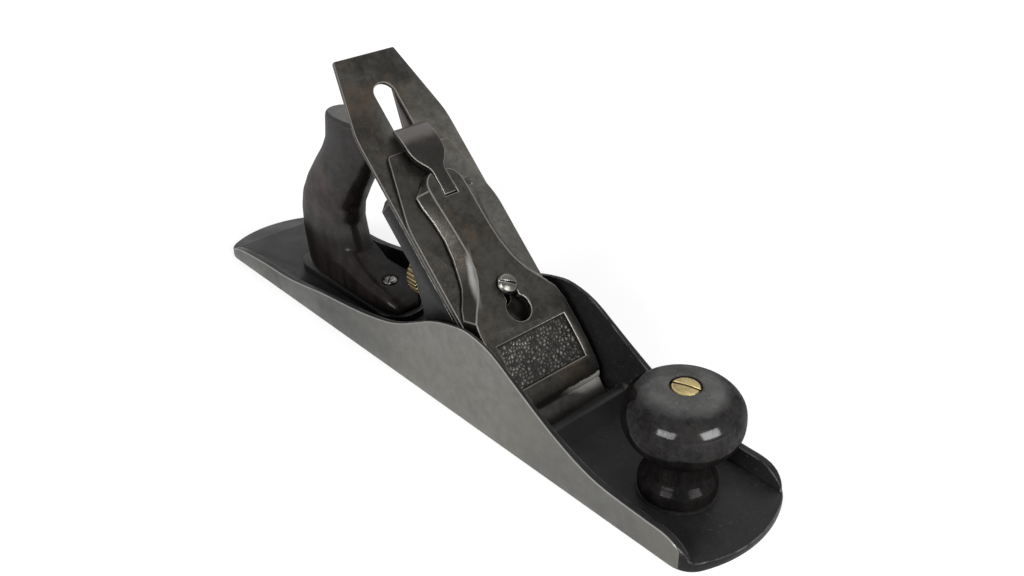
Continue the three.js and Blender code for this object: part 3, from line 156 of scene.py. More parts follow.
def pale_floor():
    """A pale floor that glows white to the camera, fully so far from the object, and keeps a soft shadow."""
    bm = bmesh.new()
    bmesh.ops.create_grid(bm, x_segments=1, y_segments=1, size=FLOOR_SIZE / 2)
    bmesh.ops.translate(bm, vec=(0, 0, -FLOOR_DROP), verts=bm.verts)
    mesh = bpy.data.meshes.new("pale_floor")
    bm.to_mesh(mesh)
    bm.free()
    floor = bpy.data.objects.new("pale_floor", mesh)
    scene.collection.objects.link(floor)
    paper = bpy.data.materials.new("paper")
    paper.use_nodes = True
    tree = paper.node_tree
    shader = tree.nodes["Principled BSDF"]
    shader.inputs["Base Color"].default_value = (FLOOR_GREY, FLOOR_GREY, FLOOR_GREY, 1)
    shader.inputs["Roughness"].default_value = 1
    shader.inputs["Specular IOR Level"].default_value = 0
    distance = node(tree, "VectorMath", node(tree, "TexCoord")["Object"], operation="LENGTH")["Value"]
    level = node(tree, "MapRange", distance, From_Min=FLOOR_GLOW_RISES, From_Max=FLOOR_GLOW_FULL,
                 To_Min=FLOOR_GLOW, To_Max=1)[0]
    share = node(tree, "Math", seen_rays(tree), level, operation="MULTIPLY")[0]
    light = node(tree, "Emission", Color=(1, 1, 1, 1), Strength=share)[0]
    both = node(tree, "AddShader", shader.outputs[0], light)[0]
    tree.links.new(both, tree.nodes["Material Output"].inputs["Surface"])
    mesh.materials.append(paper)


look_down()
surroundings()
view_azimuth = math.atan2(CAMERA_AT.y, CAMERA_AT.x)
for lamp_name, side in (("left_lamp", -1), ("right_lamp", 1)):
    soft_lamp(lamp_name, view_azimuth + side * SIDE_LAMPS_APART, SIDE_LAMPS_UP, SIDE_LAMPS_AWAY,
              SIDE_LAMPS_SIZE, SIDE_LAMPS_POWER)
soft_lamp("top_lamp", view_azimuth + TOP_LAMP_ROUND, TOP_LAMP_UP, TOP_LAMP_AWAY,
          TOP_LAMP_SIZE, TOP_LAMP_POWER)
pale_floor()
scene.view_settings.view_transform = "Standard"


# ---------------------------------------------------------------- effects shared by the finishes

RIM = "rim"                         # marks that pieces carry for their finishes: rounded-over strips,
LIFT = "lift"                       # and how far a pebble of the panel's ground stands up
BED_FOOT = 77.2 * MM                # X where the bed meets the sole


def effect(name, build, outputs, **inputs):
    """A node group: build(tree, inputs) returns its output sockets, in the order of outputs."""
    group = bpy.data.node_groups.new(name, "ShaderNodeTree")
    for label, value in inputs.items():
        socket = group.interface.new_socket(label.replace("_", " "), in_out="INPUT",
                                            socket_type="NodeSocketFloat")
        socket.default_value = value
    for label in outputs:
        group.interface.new_socket(label, in_out="OUTPUT", socket_type="NodeSocketFloat")
    entry = group.nodes.new("NodeGroupInput").outputs
    made = build(group, entry)
    leave = group.nodes.new("NodeGroupOutput")
    for socket, label in zip(made, outputs):
        group.links.new(socket, leave.inputs[label])
    return group


def placed(tree, group, **inputs):
    """A copy of an effect in a material, with values of its own."""
    made = tree.nodes.new("ShaderNodeGroup")
    made.node_tree = group
    for label, value in inputs.items():
        give(tree, made.inputs[label.replace("_", " ")], value)
    return made.outputs


def here(tree, stretch=(1, 1, 1), turn=(0, 0, 0)):
    """Places on the piece, in metres, stretched or turned for a pattern with a direction."""
    where = node(tree, "TexCoord")["Object"]
    return node(tree, "Mapping", Vector=where, Rotation=turn, Scale=stretch)[0]


def maths(tree, operation, *values, clamp=False):
    return node(tree, "Math", *values, operation=operation, use_clamp=clamp)[0]


def times(tree, first, *others):
    """Values multiplied with each other."""
    for other in others:
        first = maths(tree, "MULTIPLY", first, other)
    return first


def plus(tree, first, *others):
    """Values added up."""
    for other in others:
        first = maths(tree, "ADD", first, other)
    return first


def minus(tree, first, second):
    return maths(tree, "SUBTRACT", first, second)


def between(tree, value, low, high, to_low=0.0, to_high=1.0):
    """A smooth step from to_low, where the value is low, to to_high, where it is high."""
    return node(tree, "MapRange", value, low, high, to_low, to_high, interpolation_type="SMOOTHSTEP")[0]


def band(tree, value, start, full_from, full_to, end):
    """1 from full_from to full_to, going down to 0 at start and at end."""
    return times(tree, between(tree, value, start, full_from), between(tree, value, end, full_to))


def noise(tree, where, scale, detail, rough):
    return node(tree, "TexNoise", Vector=where, Scale=scale, Detail=detail, Roughness=rough)[0]


def wander(tree, scale, detail, rough, amount):
    """A value that wanders by up to half the amount to either side of 0, to make a border ragged."""
    return times(tree, minus(tree, noise(tree, here(tree), scale, detail, rough), 0.5), amount)


def spot_on(tree):
    """X, Y and Z of the place on the piece, in metres."""
    return node(tree, "SeparateXYZ", node(tree, "TexCoord")["Object"])


def up_the_bed(tree):
    """Distance up the 45 degree bed from its foot, and distance across, in metres."""
    spot = spot_on(tree)
    rise = minus(tree, spot["Z"], minus(tree, spot["X"], BED_FOOT))
    return times(tree, rise, math.sqrt(0.5)), spot["Y"]


def build_mottle(tree, entry):
    """Cloudy patches with fine grain in them."""
    where = here(tree)
    cloud = noise(tree, where, entry["Scale"], 5, 0.6)
    finer = times(tree, entry["Scale"], 7)
    grain = noise(tree, where, finer, 3, 0.7)
    mixed = plus(tree, times(tree, cloud, 0.65), times(tree, grain, 0.35))
    low = minus(tree, 0.5, entry["Spread"])
    high = plus(tree, 0.5, entry["Spread"])
    return [between(tree, mixed, low, high)]


def build_rim_wear(tree, entry):
    """Rubbed edges: the rounded-over strips, thinned out here and there, and a ragged border beside them."""
    rim = node(tree, "Attribute", attribute_name=RIM)["Fac"]
    patches = noise(tree, here(tree), entry["Scale"], 4, 0.65)
    kept = between(tree, patches, minus(tree, entry["Break up"], 0.12),
                   plus(tree, entry["Break up"], 0.08))
    strip = times(tree, rim, kept)
    round_normal = node(tree, "Bevel", entry["Spill"], samples=6)[0]
    true_normal = node(tree, "NewGeometry")["True Normal"]
    likeness = node(tree, "VectorMath", round_normal, true_normal, operation="DOT_PRODUCT")["Value"]
    corner = between(tree, minus(tree, 1, likeness), 0.02, 0.2)
    open_air = node(tree, "AmbientOcclusion", Distance=entry["Spill"], samples=4)["AO"]
    convex = between(tree, open_air, 0.5, 0.85)
    ragged = between(tree, noise(tree, here(tree), times(tree, entry["Scale"], 2.3), 4, 0.7), 0.5, 0.6)
    beside = times(tree, times(tree, corner, convex), ragged)
    return [maths(tree, "MAXIMUM", strip, times(tree, beside, 0.8))]


def build_grime_and_shade(tree, entry):
    """Soiling and painted shade that darken corners and hollows, where ambient occlusion finds them."""
    closed = node(tree, "AmbientOcclusion", Distance=entry["Reach"], samples=6)["AO"]
    patches = noise(tree, here(tree), 260, 4, 0.6)
    hidden = minus(tree, 1, closed)
    uneven = plus(tree, hidden, between(tree, patches, 0.3, 0.7, -0.12, 0.12))
    return [between(tree, uneven, 0.25, 0.85)]


def build_dust_and_sheen(tree, entry):
    """A thin haze on faces that look up: dusting on the japan, and a painted sheen on the varnished wood."""
    upward = node(tree, "SeparateXYZ", node(tree, "NewGeometry")["Normal"])["Z"]
    lies = between(tree, upward, 0.84, 1)
    patches = between(tree, noise(tree, here(tree), 45, 6, 0.65), 0.35, 0.7, 0.5, 1)
    specks = between(tree, noise(tree, here(tree), 900, 2, 0.5), 0.62, 0.72)
    haze = plus(tree, times(tree, patches, 0.65), times(tree, specks, 0.3))
    return [maths(tree, "MULTIPLY", times(tree, haze, lies), entry["Amount"], clamp=True)]


def build_scratches(tree, entry):
    """Fine lines in three directions, few and faint."""
    total = None
    for turn, scale in ((0.2, 60), (1.3, 85), (2.4, 70)):
        where = here(tree, (1, 14, 14), (turn, turn * 0.7, turn * 1.3))
        line = between(tree, noise(tree, where, scale, 2, 0.5), 0.68, 0.74)
        total = line if total is None else maths(tree, "MAXIMUM", total, line)
    return [times(tree, total, entry["Amount"])]


def build_wood(tree, entry):
    """Long grain up the piece, with pores."""
    bend = noise(tree, here(tree), 25, 2, 0.5)
    where = here(tree, (1, 1, 0.07))
    shifted = node(tree, "VectorMath", where, times(tree, bend, 0.006), operation="ADD")[0]
    bands = noise(tree, shifted, entry["Scale"], 5, 0.6)
    pores = between(tree, noise(tree, here(tree, (1, 1, 0.05)), 2200, 2, 0.5), 0.58, 0.66)
    return [between(tree, bands, 0.35, 0.65), pores]


mottle = effect("mottle", build_mottle, ["Patches"], Scale=90, Spread=0.16)
rim_wear = effect("rim_wear", build_rim_wear, ["Bare"], Spill=0.5 * MM, Scale=120, Break_up=0.3)
grime_and_shade = effect("grime_and_shade", build_grime_and_shade, ["Dirt"], Reach=4 * MM)
dust_and_sheen = effect("dust_and_sheen", build_dust_and_sheen, ["Haze"], Amount=1)
scratches = effect("scratches", build_scratches, ["Lines"], Amount=1)
wood_grain = effect("wood_grain", build_wood, ["Bands", "Pores"], Scale=160)

# ---------------------------------------------------------------- finishes


def blank(name, **plain):
    """A new material with its shader's plain numbers and colours set."""
    made = bpy.data.materials.new(name)
    made.use_nodes = True
    shader = made.node_tree.nodes["Principled BSDF"]
    for label, value in plain.items():
        shader.inputs[label.replace("_", " ")].default_value = value
    return made, made.node_tree, shader


def feed(tree, shader, **sources):
    """Gives the shader its inputs, each a socket or a number."""
    for label, source in sources.items():
        give(tree, shader.inputs[label.replace("_", " ")], source)


def blend(tree, share, first, second):
    """One colour going over into another. The first may be a socket."""
    mixer = tree.nodes.new("ShaderNodeMix")
    mixer.data_type = "RGBA"
    entries = {entry.identifier: entry for entry in mixer.inputs}
    give(tree, entries["Factor_Float"], share)
    give(tree, entries["A_Color"], (*first, 1) if isinstance(first, tuple) else first)
    give(tree, entries["B_Color"], (*second, 1))
    return next(leave for leave in mixer.outputs if leave.identifier == "Result_Color")


def tinted(tree, colour, mask, amount, shade):
    """The colour with another over it where the mask is high."""
    return blend(tree, times(tree, mask, amount), colour, shade)


def relief(tree, height, depth, strength):
    """Fine height for the Normal input."""
    return node(tree, "Bump", Strength=strength, Distance=depth, Height=height)[0]


def ground_iron():
    """Machined grey iron with a soft shine and faint lines along the plane; paler across the middle, darker
    to the heel.
    """
    made, tree, shader = blank("ground_iron", Metallic=0.9)
    clouds = placed(tree, mottle, Scale=24, Spread=0.17)["Patches"]
    fine = placed(tree, mottle, Scale=240, Spread=0.2)["Patches"]
    warm = between(tree, noise(tree, here(tree), 17, 2, 0.4), 0.56, 0.72)
    lines = noise(tree, here(tree, (0.05, 1, 1)), 2600, 2, 0.5)
    marks = placed(tree, scratches, Amount=0.6)["Lines"]
    bare = placed(tree, rim_wear, Spill=0.6 * MM, Scale=90, Break_up=0.36)["Bare"]
    length = spot_on(tree)["X"]
    nearer_toe = between(tree, length, -130 * MM, 60 * MM)
    middle = band(tree, length, -30 * MM, 20 * MM, 60 * MM, 100 * MM)
    colour = blend(tree, nearer_toe, (0.058, 0.059, 0.057), (0.118, 0.118, 0.113))
    colour = tinted(tree, colour, middle, 0.7, (0.215, 0.210, 0.196))
    colour = tinted(tree, colour, clouds, 0.6, (0.165, 0.162, 0.152))
    colour = tinted(tree, colour, fine, 0.55, (0.090, 0.088, 0.080))
    colour = tinted(tree, colour, warm, 0.35, (0.160, 0.152, 0.118))
    colour = tinted(tree, colour, bare, 0.8, (0.26, 0.254, 0.24))
    rough = between(tree, clouds, 0, 1, 0.46, 0.34)
    rough = plus(tree, rough, times(tree, marks, 0.12))
    height = plus(tree, lines, times(tree, fine, 0.8))
    feed(tree, shader, Base_Color=colour, Roughness=rough, Normal=relief(tree, height, 0.02 * MM, 0.5))
    return made


def japanned_iron():
    """Black japan over rough cast iron, dusty where it lies flat and rubbed through at its corners.

    Painted reflection greys it at the heel; the rib at the mouth is black with painted shade and a painted
    highlight.
    """
    made, tree, shader = blank("japanned_iron", Specular_IOR_Level=0.1)
    cast = placed(tree, mottle, Scale=420, Spread=0.3)["Patches"]
    swell = noise(tree, here(tree), 70, 3, 0.5)
    haze = placed(tree, dust_and_sheen, Amount=0.6)["Haze"]
    dirt_and_shade = placed(tree, grime_and_shade, Reach=5 * MM)["Dirt"]
    bare = placed(tree, rim_wear, Spill=0.35 * MM, Scale=150, Break_up=0.5)["Bare"]
    spot = spot_on(tree)
    heel = between(tree, spot["X"], -100 * MM, -150 * MM)
    rib = times(tree, band(tree, spot["X"], 84 * MM, 87 * MM, 97 * MM, 100 * MM),
                band(tree, spot["Z"], 5 * MM, 6 * MM, 12 * MM, 13 * MM))
    ridge = times(tree, rib, between(tree, spot["Z"], 9.1 * MM, 9.7 * MM))
    specks = between(tree, noise(tree, here(tree), 700, 2, 0.5), 0.66, 0.72)
    colour = blend(tree, cast, (0.006, 0.006, 0.0065), (0.012, 0.012, 0.0125))
    colour = tinted(tree, colour, specks, 0.5, (0.055, 0.054, 0.052))
    colour = tinted(tree, colour, haze, 0.4, (0.055, 0.053, 0.050))
    # painted reflection: greyer towards the heel, where the black japan mirrors the white surroundings at a
    # glancing angle
    colour = tinted(tree, colour, heel, 0.7, (0.033, 0.033, 0.032))
    # painted shade: the front of the rib darker
    colour = tinted(tree, colour, rib, 0.6, (0.004, 0.004, 0.004))
    # painted highlight: a paler line along the rib's ridge
    colour = tinted(tree, colour, ridge, 0.8, (0.058, 0.057, 0.054))
    # soiling and painted shade darken corners and hollows
    colour = tinted(tree, colour, dirt_and_shade, 0.7, (0.005, 0.005, 0.0045))
    colour = tinted(tree, colour, bare, 0.6, (0.11, 0.107, 0.10))
    rough = plus(tree, between(tree, swell, 0.3, 0.7, 0.26, 0.42), times(tree, haze, 0.3))
    height = plus(tree, times(tree, swell, 3), cast)
    feed(tree, shader, Base_Color=colour, Roughness=rough, Metallic=times(tree, bare, 0.6),
         Normal=relief(tree, height, 0.05 * MM, 0.6))
    return made


def aged_steel(name, dark, light, edge, tones=(), shines=()):
    """Old tool steel gone brown-grey, with freckles of rust and pale rubbed edges.

    Tones lie under the freckles and shines lie over them. Each is a function that gives a mask, a colour and
    how metallic it is there.
    """
    made, tree, shader = blank(name)
    clouds = placed(tree, mottle, Scale=42, Spread=0.1)["Patches"]
    finer = placed(tree, mottle, Scale=95, Spread=0.17)["Patches"]
    freckles = placed(tree, mottle, Scale=330, Spread=0.16)["Patches"]
    rust = between(tree, noise(tree, here(tree), 34, 5, 0.65), 0.53, 0.68)
    marks = placed(tree, scratches, Amount=0.8)["Lines"]
    dirt_and_shade = placed(tree, grime_and_shade, Reach=3 * MM)["Dirt"]
    bare = placed(tree, rim_wear, Spill=0.7 * MM, Scale=110, Break_up=0.2)["Bare"]
    metal = 0.85
    colour = blend(tree, clouds, dark, light)
    colour = blend(tree, times(tree, finer, 0.5), colour, light)
    for tone in tones:
        mask, shade, metal_there = tone(tree)
        uneven = between(tree, finer, 0, 1, 0.65, 1)
        colour = blend(tree, times(tree, mask, uneven), colour, shade)
        metal = between(tree, mask, 0, 1, metal, metal_there)
    colour = tinted(tree, colour, freckles, 0.5, (0.016, 0.014, 0.012))
    colour = tinted(tree, colour, rust, 0.5, (0.066, 0.047, 0.030))
    colour = tinted(tree, colour, marks, 0.25, (0.09, 0.085, 0.078))
    # soiling and painted shade darken corners and hollows
    colour = tinted(tree, colour, dirt_and_shade, 0.75, (0.009, 0.008, 0.007))
    for shine in shines:
        mask, shade, metal_there = shine(tree)
        colour = blend(tree, mask, colour, shade)
        metal = between(tree, mask, 0, 1, metal, metal_there)
    colour = blend(tree, bare, colour, edge)
    rough = between(tree, freckles, 0, 1, 0.34, 0.48)
    height = minus(tree, plus(tree, clouds, freckles), marks)
    feed(tree, shader, Base_Color=colour, Roughness=rough, Metallic=metal,
         Normal=relief(tree, height, 0.03 * MM, 0.6))
    return made


def flank_painted_shade(tree):
    """Painted shade: the hollow flank of the rib on the right cheek's side, browner and darker than the
    face.
    """
    sideways = node(tree, "SeparateXYZ", node(tree, "NewGeometry")["True Normal"])["Y"]
    return between(tree, sideways, -0.25, -0.55, 0, 0.75), (0.012, 0.011, 0.009), 0.85


def rib_painted_highlight(tree):
    """A painted highlight along the turn of the flank into the ridge, half way down."""
    rise, side = up_the_bed(tree)
    along = band(tree, rise, 58 * MM, 72 * MM, 78 * MM, 90 * MM)
    drift = times(tree, minus(tree, 76 * MM, rise), 0.36)
    off_line = plus(tree, side, wander(tree, 60, 3, 0.5, 2 * MM), drift, 12.4 * MM)
    shine = between(tree, maths(tree, "ABSOLUTE", off_line), 1.9 * MM, 0.2 * MM)
    return times(tree, along, shine, 0.85), (0.20, 0.195, 0.185), 0.5


def paler_middle(tree):
    """The middle of the cutter, paler than its top and its right-hand border."""
    rise, side = up_the_bed(tree)
    ragged = wander(tree, 40, 4, 0.6, 30 * MM)
    below_top = between(tree, plus(tree, rise, ragged), 178 * MM, 156 * MM)
    inner = between(tree, plus(tree, side, times(tree, ragged, 0.4)), -16 * MM, -4 * MM)
    share = between(tree, rise, 165 * MM, 125 * MM, 0.42, 1)
    return times(tree, below_top, inner, share), (0.150, 0.142, 0.122), 0.85


def paler_left_side(tree):
    """The cap iron on the left cheek's side, paler than the rest of it."""
    side = up_the_bed(tree)[1]
    return between(tree, side, 2 * MM, 12 * MM, 0, 0.85), (0.125, 0.120, 0.108), 0.85


def hump_painted_light(tree):
    """Painted light: the foot of the cap iron, made a little paler."""
    rise = up_the_bed(tree)[0]
    return between(tree, rise, 17 * MM, 9 * MM, 0, 0.9), (0.085, 0.082, 0.075), 0.5


def chipped_lip(tree):
    """Bright metal by the lever cap's lip, torn at its upper border and fading down the cap iron.

    It widens towards the left cheek.
    """
    rise, side = up_the_bed(tree)
    above = plus(tree, rise, wander(tree, 330, 4, 0.65, 2.2 * MM))
    depth = between(tree, side, 3 * MM, 17 * MM, 0.6 * MM, 6 * MM)
    foot = minus(tree, 11.6 * MM, depth)
    fade = between(tree, maths(tree, "DIVIDE", minus(tree, above, foot), depth), 0, 0.9)
    left_half = between(tree, side, -2 * MM, 8 * MM)
    below_tear = between(tree, above, 13.2 * MM, 12.8 * MM)
    return times(tree, fade, left_half, below_tear), (0.40, 0.39, 0.365), 0.25


def lever_end_painted_light(tree):
    """Painted light on the rolled end of the lever, paler from where it turns up towards the light."""
    rise = up_the_bed(tree)[0]
    ragged = times(tree, noise(tree, here(tree), 90, 3, 0.5), 3 * MM)
    return between(tree, plus(tree, rise, ragged), 141 * MM, 146 * MM), (0.080, 0.074, 0.071), 0.85


def bright_steel():
    """Clean screw steel, dulled by age."""
    made, tree, shader = blank("bright_steel", Metallic=1.0)
    clouds = placed(tree, mottle, Scale=260, Spread=0.2)["Patches"]
    dirt_and_shade = placed(tree, grime_and_shade, Reach=1.5 * MM)["Dirt"]
    bare = placed(tree, rim_wear, Spill=0.2 * MM, Scale=200, Break_up=0.4)["Bare"]
    colour = blend(tree, clouds, (0.050, 0.048, 0.042), (0.125, 0.12, 0.108))
    # soiling and painted shade darken corners and hollows
    colour = tinted(tree, colour, dirt_and_shade, 0.85, (0.012, 0.011, 0.010))
    colour = tinted(tree, colour, bare, 0.5, (0.35, 0.345, 0.33))
    rough = between(tree, clouds, 0, 1, 0.34, 0.22)
    feed(tree, shader, Base_Color=colour, Roughness=rough, Normal=relief(tree, clouds, 0.01 * MM, 0.5))
    return made


def dull_brass(name, dark, light):
    """Brass with a brown tarnish in its hollows."""
    made, tree, shader = blank(name, Metallic=1.0)
    clouds = placed(tree, mottle, Scale=130, Spread=0.16)["Patches"]
    marks = placed(tree, scratches, Amount=1)["Lines"]
    dirt_and_shade = placed(tree, grime_and_shade, Reach=1.6 * MM)["Dirt"]
    bare = placed(tree, rim_wear, Spill=0.3 * MM, Scale=200, Break_up=0.4)["Bare"]
    worn = maths(tree, "MAXIMUM", times(tree, bare, 0.7), times(tree, marks, 0.4))
    colour = blend(tree, clouds, dark, light)
    colour = tinted(tree, colour, dirt_and_shade, 0.85, (0.030, 0.020, 0.009))
    colour = blend(tree, worn, colour, (0.45, 0.38, 0.21))
    rough = between(tree, clouds, 0, 1, 0.30, 0.44)
    feed(tree, shader, Base_Color=colour, Roughness=rough, Normal=relief(tree, clouds, 0.01 * MM, 0.5))
    return made


def stained_wood(name, black, brown, polish, blur, cloudy, red, sheen, foot, foot_shine):
    """Rosewood under black varnish, dull and black below foot, with a painted sheen above it; the red shows
    where hands have thinned it.
    """
    made, tree, shader = blank(name, Specular_IOR_Level=0, Coat_Roughness=blur, Coat_IOR=2.0)
    grain = placed(tree, wood_grain, Scale=170)
    above_foot = between(tree, spot_on(tree)["Z"], foot * 0.8, foot * 1.15)
    thin = between(tree, noise(tree, here(tree), 38, 4, 0.6), 0.48, 0.72)
    clouds = placed(tree, mottle, Scale=75, Spread=0.2)["Patches"]
    marks = placed(tree, scratches, Amount=0.8)["Lines"]
    chips = placed(tree, rim_wear, Spill=0.5 * MM, Scale=190, Break_up=0.55)["Bare"]
    haze = placed(tree, dust_and_sheen, Amount=sheen)["Haze"]
    colour = blend(tree, grain["Bands"], black, brown)
    redness = times(tree, thin, red, above_foot)
    colour = blend(tree, redness, colour, (0.040, 0.022, 0.017))
    colour = tinted(tree, colour, grain["Pores"], 0.6, (0.002, 0.0018, 0.0018))
    colour = tinted(tree, colour, marks, 0.2, (0.06, 0.055, 0.05))
    # painted sheen: a grey film on the upward faces above the foot, standing in for the overhead light
    colour = tinted(tree, colour, haze, above_foot, (0.125, 0.124, 0.122))
    colour = tinted(tree, colour, chips, 0.5, (0.07, 0.05, 0.04))
    polished = between(tree, clouds, 0, 1, (1 - cloudy) * polish, (1 + cloudy) * polish)
    shine = times(tree, polished, between(tree, above_foot, 0, 1, foot_shine, 1))
    rough = between(tree, grain["Bands"], 0, 1, 0.34, 0.46)
    height = minus(tree, times(tree, grain["Bands"], 0.6), grain["Pores"])
    feed(tree, shader, Base_Color=colour, Roughness=rough, Coat_Weight=shine,
         Normal=relief(tree, height, 0.03 * MM, 0.45))
    return made


def pebbled_steel():
    """The sunk ground of the lever cap's panel: dark between its pebbles, grey on their tops."""
    made, tree, shader = blank("pebbled_steel", Metallic=0.8)
    top = node(tree, "Attribute", attribute_name=LIFT)["Fac"]
    freckles = placed(tree, mottle, Scale=330, Spread=0.16)["Patches"]
    colour = blend(tree, between(tree, top, 0.15, 0.75), (0.012, 0.012, 0.011), (0.085, 0.082, 0.076))
    colour = tinted(tree, colour, freckles, 0.4, (0.030, 0.027, 0.023))
    feed(tree, shader, Base_Color=colour, Roughness=between(tree, freckles, 0, 1, 0.36, 0.5))
    return made


pale_edge = (0.145, 0.138, 0.125)
iron = ground_iron()
japan = japanned_iron()
steel = aged_steel("aged_steel", (0.018, 0.017, 0.015), (0.056, 0.053, 0.047), pale_edge)
cutter_steel = aged_steel("cutter_steel", (0.010, 0.009, 0.008), (0.048, 0.045, 0.040), pale_edge,
                          tones=[paler_middle])
lip_steel = aged_steel("lip_steel", (0.011, 0.010, 0.009), (0.038, 0.036, 0.032), pale_edge,
                       tones=[paler_left_side, hump_painted_light], shines=[chipped_lip])
cap_steel = aged_steel("cap_steel", (0.012, 0.011, 0.010), (0.046, 0.044, 0.039), pale_edge,
                       tones=[flank_painted_shade], shines=[rib_painted_highlight, chipped_lip])
blued = aged_steel("dark_steel", (0.014, 0.013, 0.013), (0.024, 0.022, 0.021), pale_edge,
                   shines=[lever_end_painted_light])
pebbles = pebbled_steel()
bright = bright_steel()
brass = dull_brass("brass", (0.170, 0.125, 0.050), (0.380, 0.310, 0.150))
old_brass = dull_brass("old_brass", (0.060, 0.044, 0.018), (0.160, 0.125, 0.055))
knob_wood = stained_wood("knob_wood", (0.0045, 0.0042, 0.0042), (0.009, 0.0078, 0.0075), polish=0.14,
                         blur=0.12, cloudy=0.6, red=0.1, sheen=0.95, foot=27 * MM, foot_shine=0.16)
handle_wood = stained_wood("handle_wood", (0.008, 0.0068, 0.0064), (0.0145, 0.0112, 0.0104), polish=0.26,
                           blur=0.26, cloudy=0.2, red=0.6, sheen=1.4, foot=36 * MM, foot_shine=0.35)

# ---------------------------------------------------------------- pieces


MERGE_WITHIN = 0.001 * MM
FLAT_WITHIN = math.radians(0.5)
ROUNDED_FROM = math.radians(28)      # edges that turn more than this are rounded over
SHARP_FROM = math.radians(32)        # and edges of a finished piece that do are shaded sharp


def clean_copy(node_name):
    """A CAD node's shape with its triangles joined up and its flat faces whole."""
    bm = bmesh.new()
    bm.from_mesh(nodes[node_name].data)
    bmesh.ops.remove_doubles(bm, verts=bm.verts, dist=MERGE_WITHIN)
    bmesh.ops.dissolve_limit(bm, angle_limit=FLAT_WITHIN, verts=bm.verts, edges=bm.edges)
    return bm


def round_edges(bm, width, segments=2):
    """Rounds the outward edges over and marks the new strips, so that the finishes can rub them bare."""
    rim = bm.faces.layers.float.new(RIM)
    outward = [edge for edge in bm.edges if edge.is_manifold and edge.is_convex]
    sharp = [edge for edge in outward if edge.calc_face_angle() > ROUNDED_FROM]
    made = bmesh.ops.bevel(bm, geom=sharp, offset=width, offset_type="OFFSET", segments=segments,
                           profile=0.5, affect="EDGES", clamp_overlap=False, material=-1)
    for face in made["faces"]:
        face[rim] = 1


def finished(bm, name, goes_with, *finishes, sharp_from=SHARP_FROM, hides=True):
    """Makes the piece and puts it on the body of the CAD node that it goes with, which it hides or joins."""
    for face in bm.faces:
        face.smooth = True
    mesh = bpy.data.meshes.new(name)
    bm.to_mesh(mesh)
    bm.free()
    mesh.set_sharp_from_angle(angle=sharp_from)
    for finish in finishes:
        mesh.materials.append(finish)
    piece = bpy.data.objects.new(name, mesh)
    scene.collection.objects.link(piece)
    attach(piece, body_of[goes_with])
    if hides:
        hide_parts(goes_with)


def softened(node_name, width, finish, segments=2, turn=0.0):
    """A CAD node's own shape with its edges rounded over, and turned about its upright axis."""
    bm = clean_copy(node_name)
    low, high = (Vector(corner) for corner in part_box(node_name))
    bmesh.ops.rotate(bm, cent=(low + high) / 2, matrix=Matrix.Rotation(turn, 3, "Z"), verts=bm.verts)
    round_edges(bm, width, segments)
    finished(bm, node_name + "_finished", node_name, finish)


CASTING_EDGE = 0.45 * MM
CASTING_SKIN = 0.5 * MM              # faces this near to the casting's own limits are its ground ones
KNOB_BOSS = 20 * MM                  # radius
HANDLE_PAD_FRONT = -60 * MM          # X
HANDLE_PAD_HALF = 22 * MM            # width


def casting():
    """The sole: ground underneath and on the outsides of its cheeks, and japanned everywhere else.

    The edges of the knob's boss and of the handle's pad are never rubbed bare.
    """
    bm = clean_copy("sole_casting")
    round_edges(bm, CASTING_EDGE)
    low, high = (Vector(corner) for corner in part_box("sole_casting"))
    knob_low, knob_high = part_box("front_knob")
    knob_x = (knob_low[0] + knob_high[0]) / 2
    rim = bm.faces.layers.float[RIM]
    for face in bm.faces:
        middle = face.calc_center_median()
        by_knob = math.hypot(middle.x - knob_x, middle.y) < KNOB_BOSS
        by_handle = middle.x < HANDLE_PAD_FRONT and abs(middle.y) < HANDLE_PAD_HALF
        if by_knob or by_handle:
            face[rim] = 0
        outside = abs(middle.y) > high.y - CASTING_SKIN
        underneath = middle.z < low.z + CASTING_SKIN
        face.material_index = 0 if outside or underneath else 1
    finished(bm, "casting", "sole_casting", iron, japan)


def smooth_line(points, steps):
    """A curve that passes through the points, as a list of points."""
    knots = [Vector(point) for point in (points[0], *points, points[-1])]
    line = []
    for before, start, end, after in zip(knots, knots[1:], knots[2:], knots[3:]):
        slope = end - before
        bend = 2 * before - 5 * start + 4 * end - after
        swing = 3 * start - before - 3 * end + after
        for step in range(steps):
            t = step / steps
            line.append(start + (slope * t + bend * t ** 2 + swing * t ** 3) / 2)
    return line + [knots[-1]]


# radius and height above the sole in mm: the knob's side, from its foot up to the rim of the nut's hole,
# and the hole, from there down to the foot again
KNOB_SIDE = [
    (15.9, 6.3), (15.9, 10.4), (14.8, 12.6), (13.1, 15.0), (12.5, 18.9), (13.1, 23.3), (17.1, 27.2),
    (20.94, 31.1), (23.2, 35.5), (23.8, 40.4), (22.97, 45.5), (19.5, 49.9), (13.8, 52.9), (7.9, 53.97),
    (6.7, 54.0),
]
KNOB_HOLE = [
    (6.15, 53.7), (6.15, 51.1), (5.05, 51.1), (5.05, 39.0), (3.55, 39.0), (3.55, 5.3), (15.1, 5.3),
]
CURVE_STEPS = 6
TURNED_STEPS = 144


def turned_knob():
    """The knob, turned about its bolt in one piece with the hole down its middle."""
    low, high = (Vector(corner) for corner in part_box("front_knob"))
    middle = (low + high) / 2
    profile = smooth_line(KNOB_SIDE, CURVE_STEPS) + KNOB_HOLE
    bm = bmesh.new()
    ring = [bm.verts.new((middle.x + radius * MM, middle.y, height * MM)) for radius, height in profile]
    edges = [bm.edges.new(pair) for pair in zip(ring, ring[1:] + ring[:1])]
    bmesh.ops.spin(bm, geom=ring + edges, cent=middle, axis=(0, 0, 1), angle=2 * math.pi,
                   steps=TURNED_STEPS, use_merge=True)
    bmesh.ops.recalc_face_normals(bm, faces=bm.faces)
    bm.faces.layers.float.new(RIM)
    finished(bm, "knob_turned", "front_knob", knob_wood)


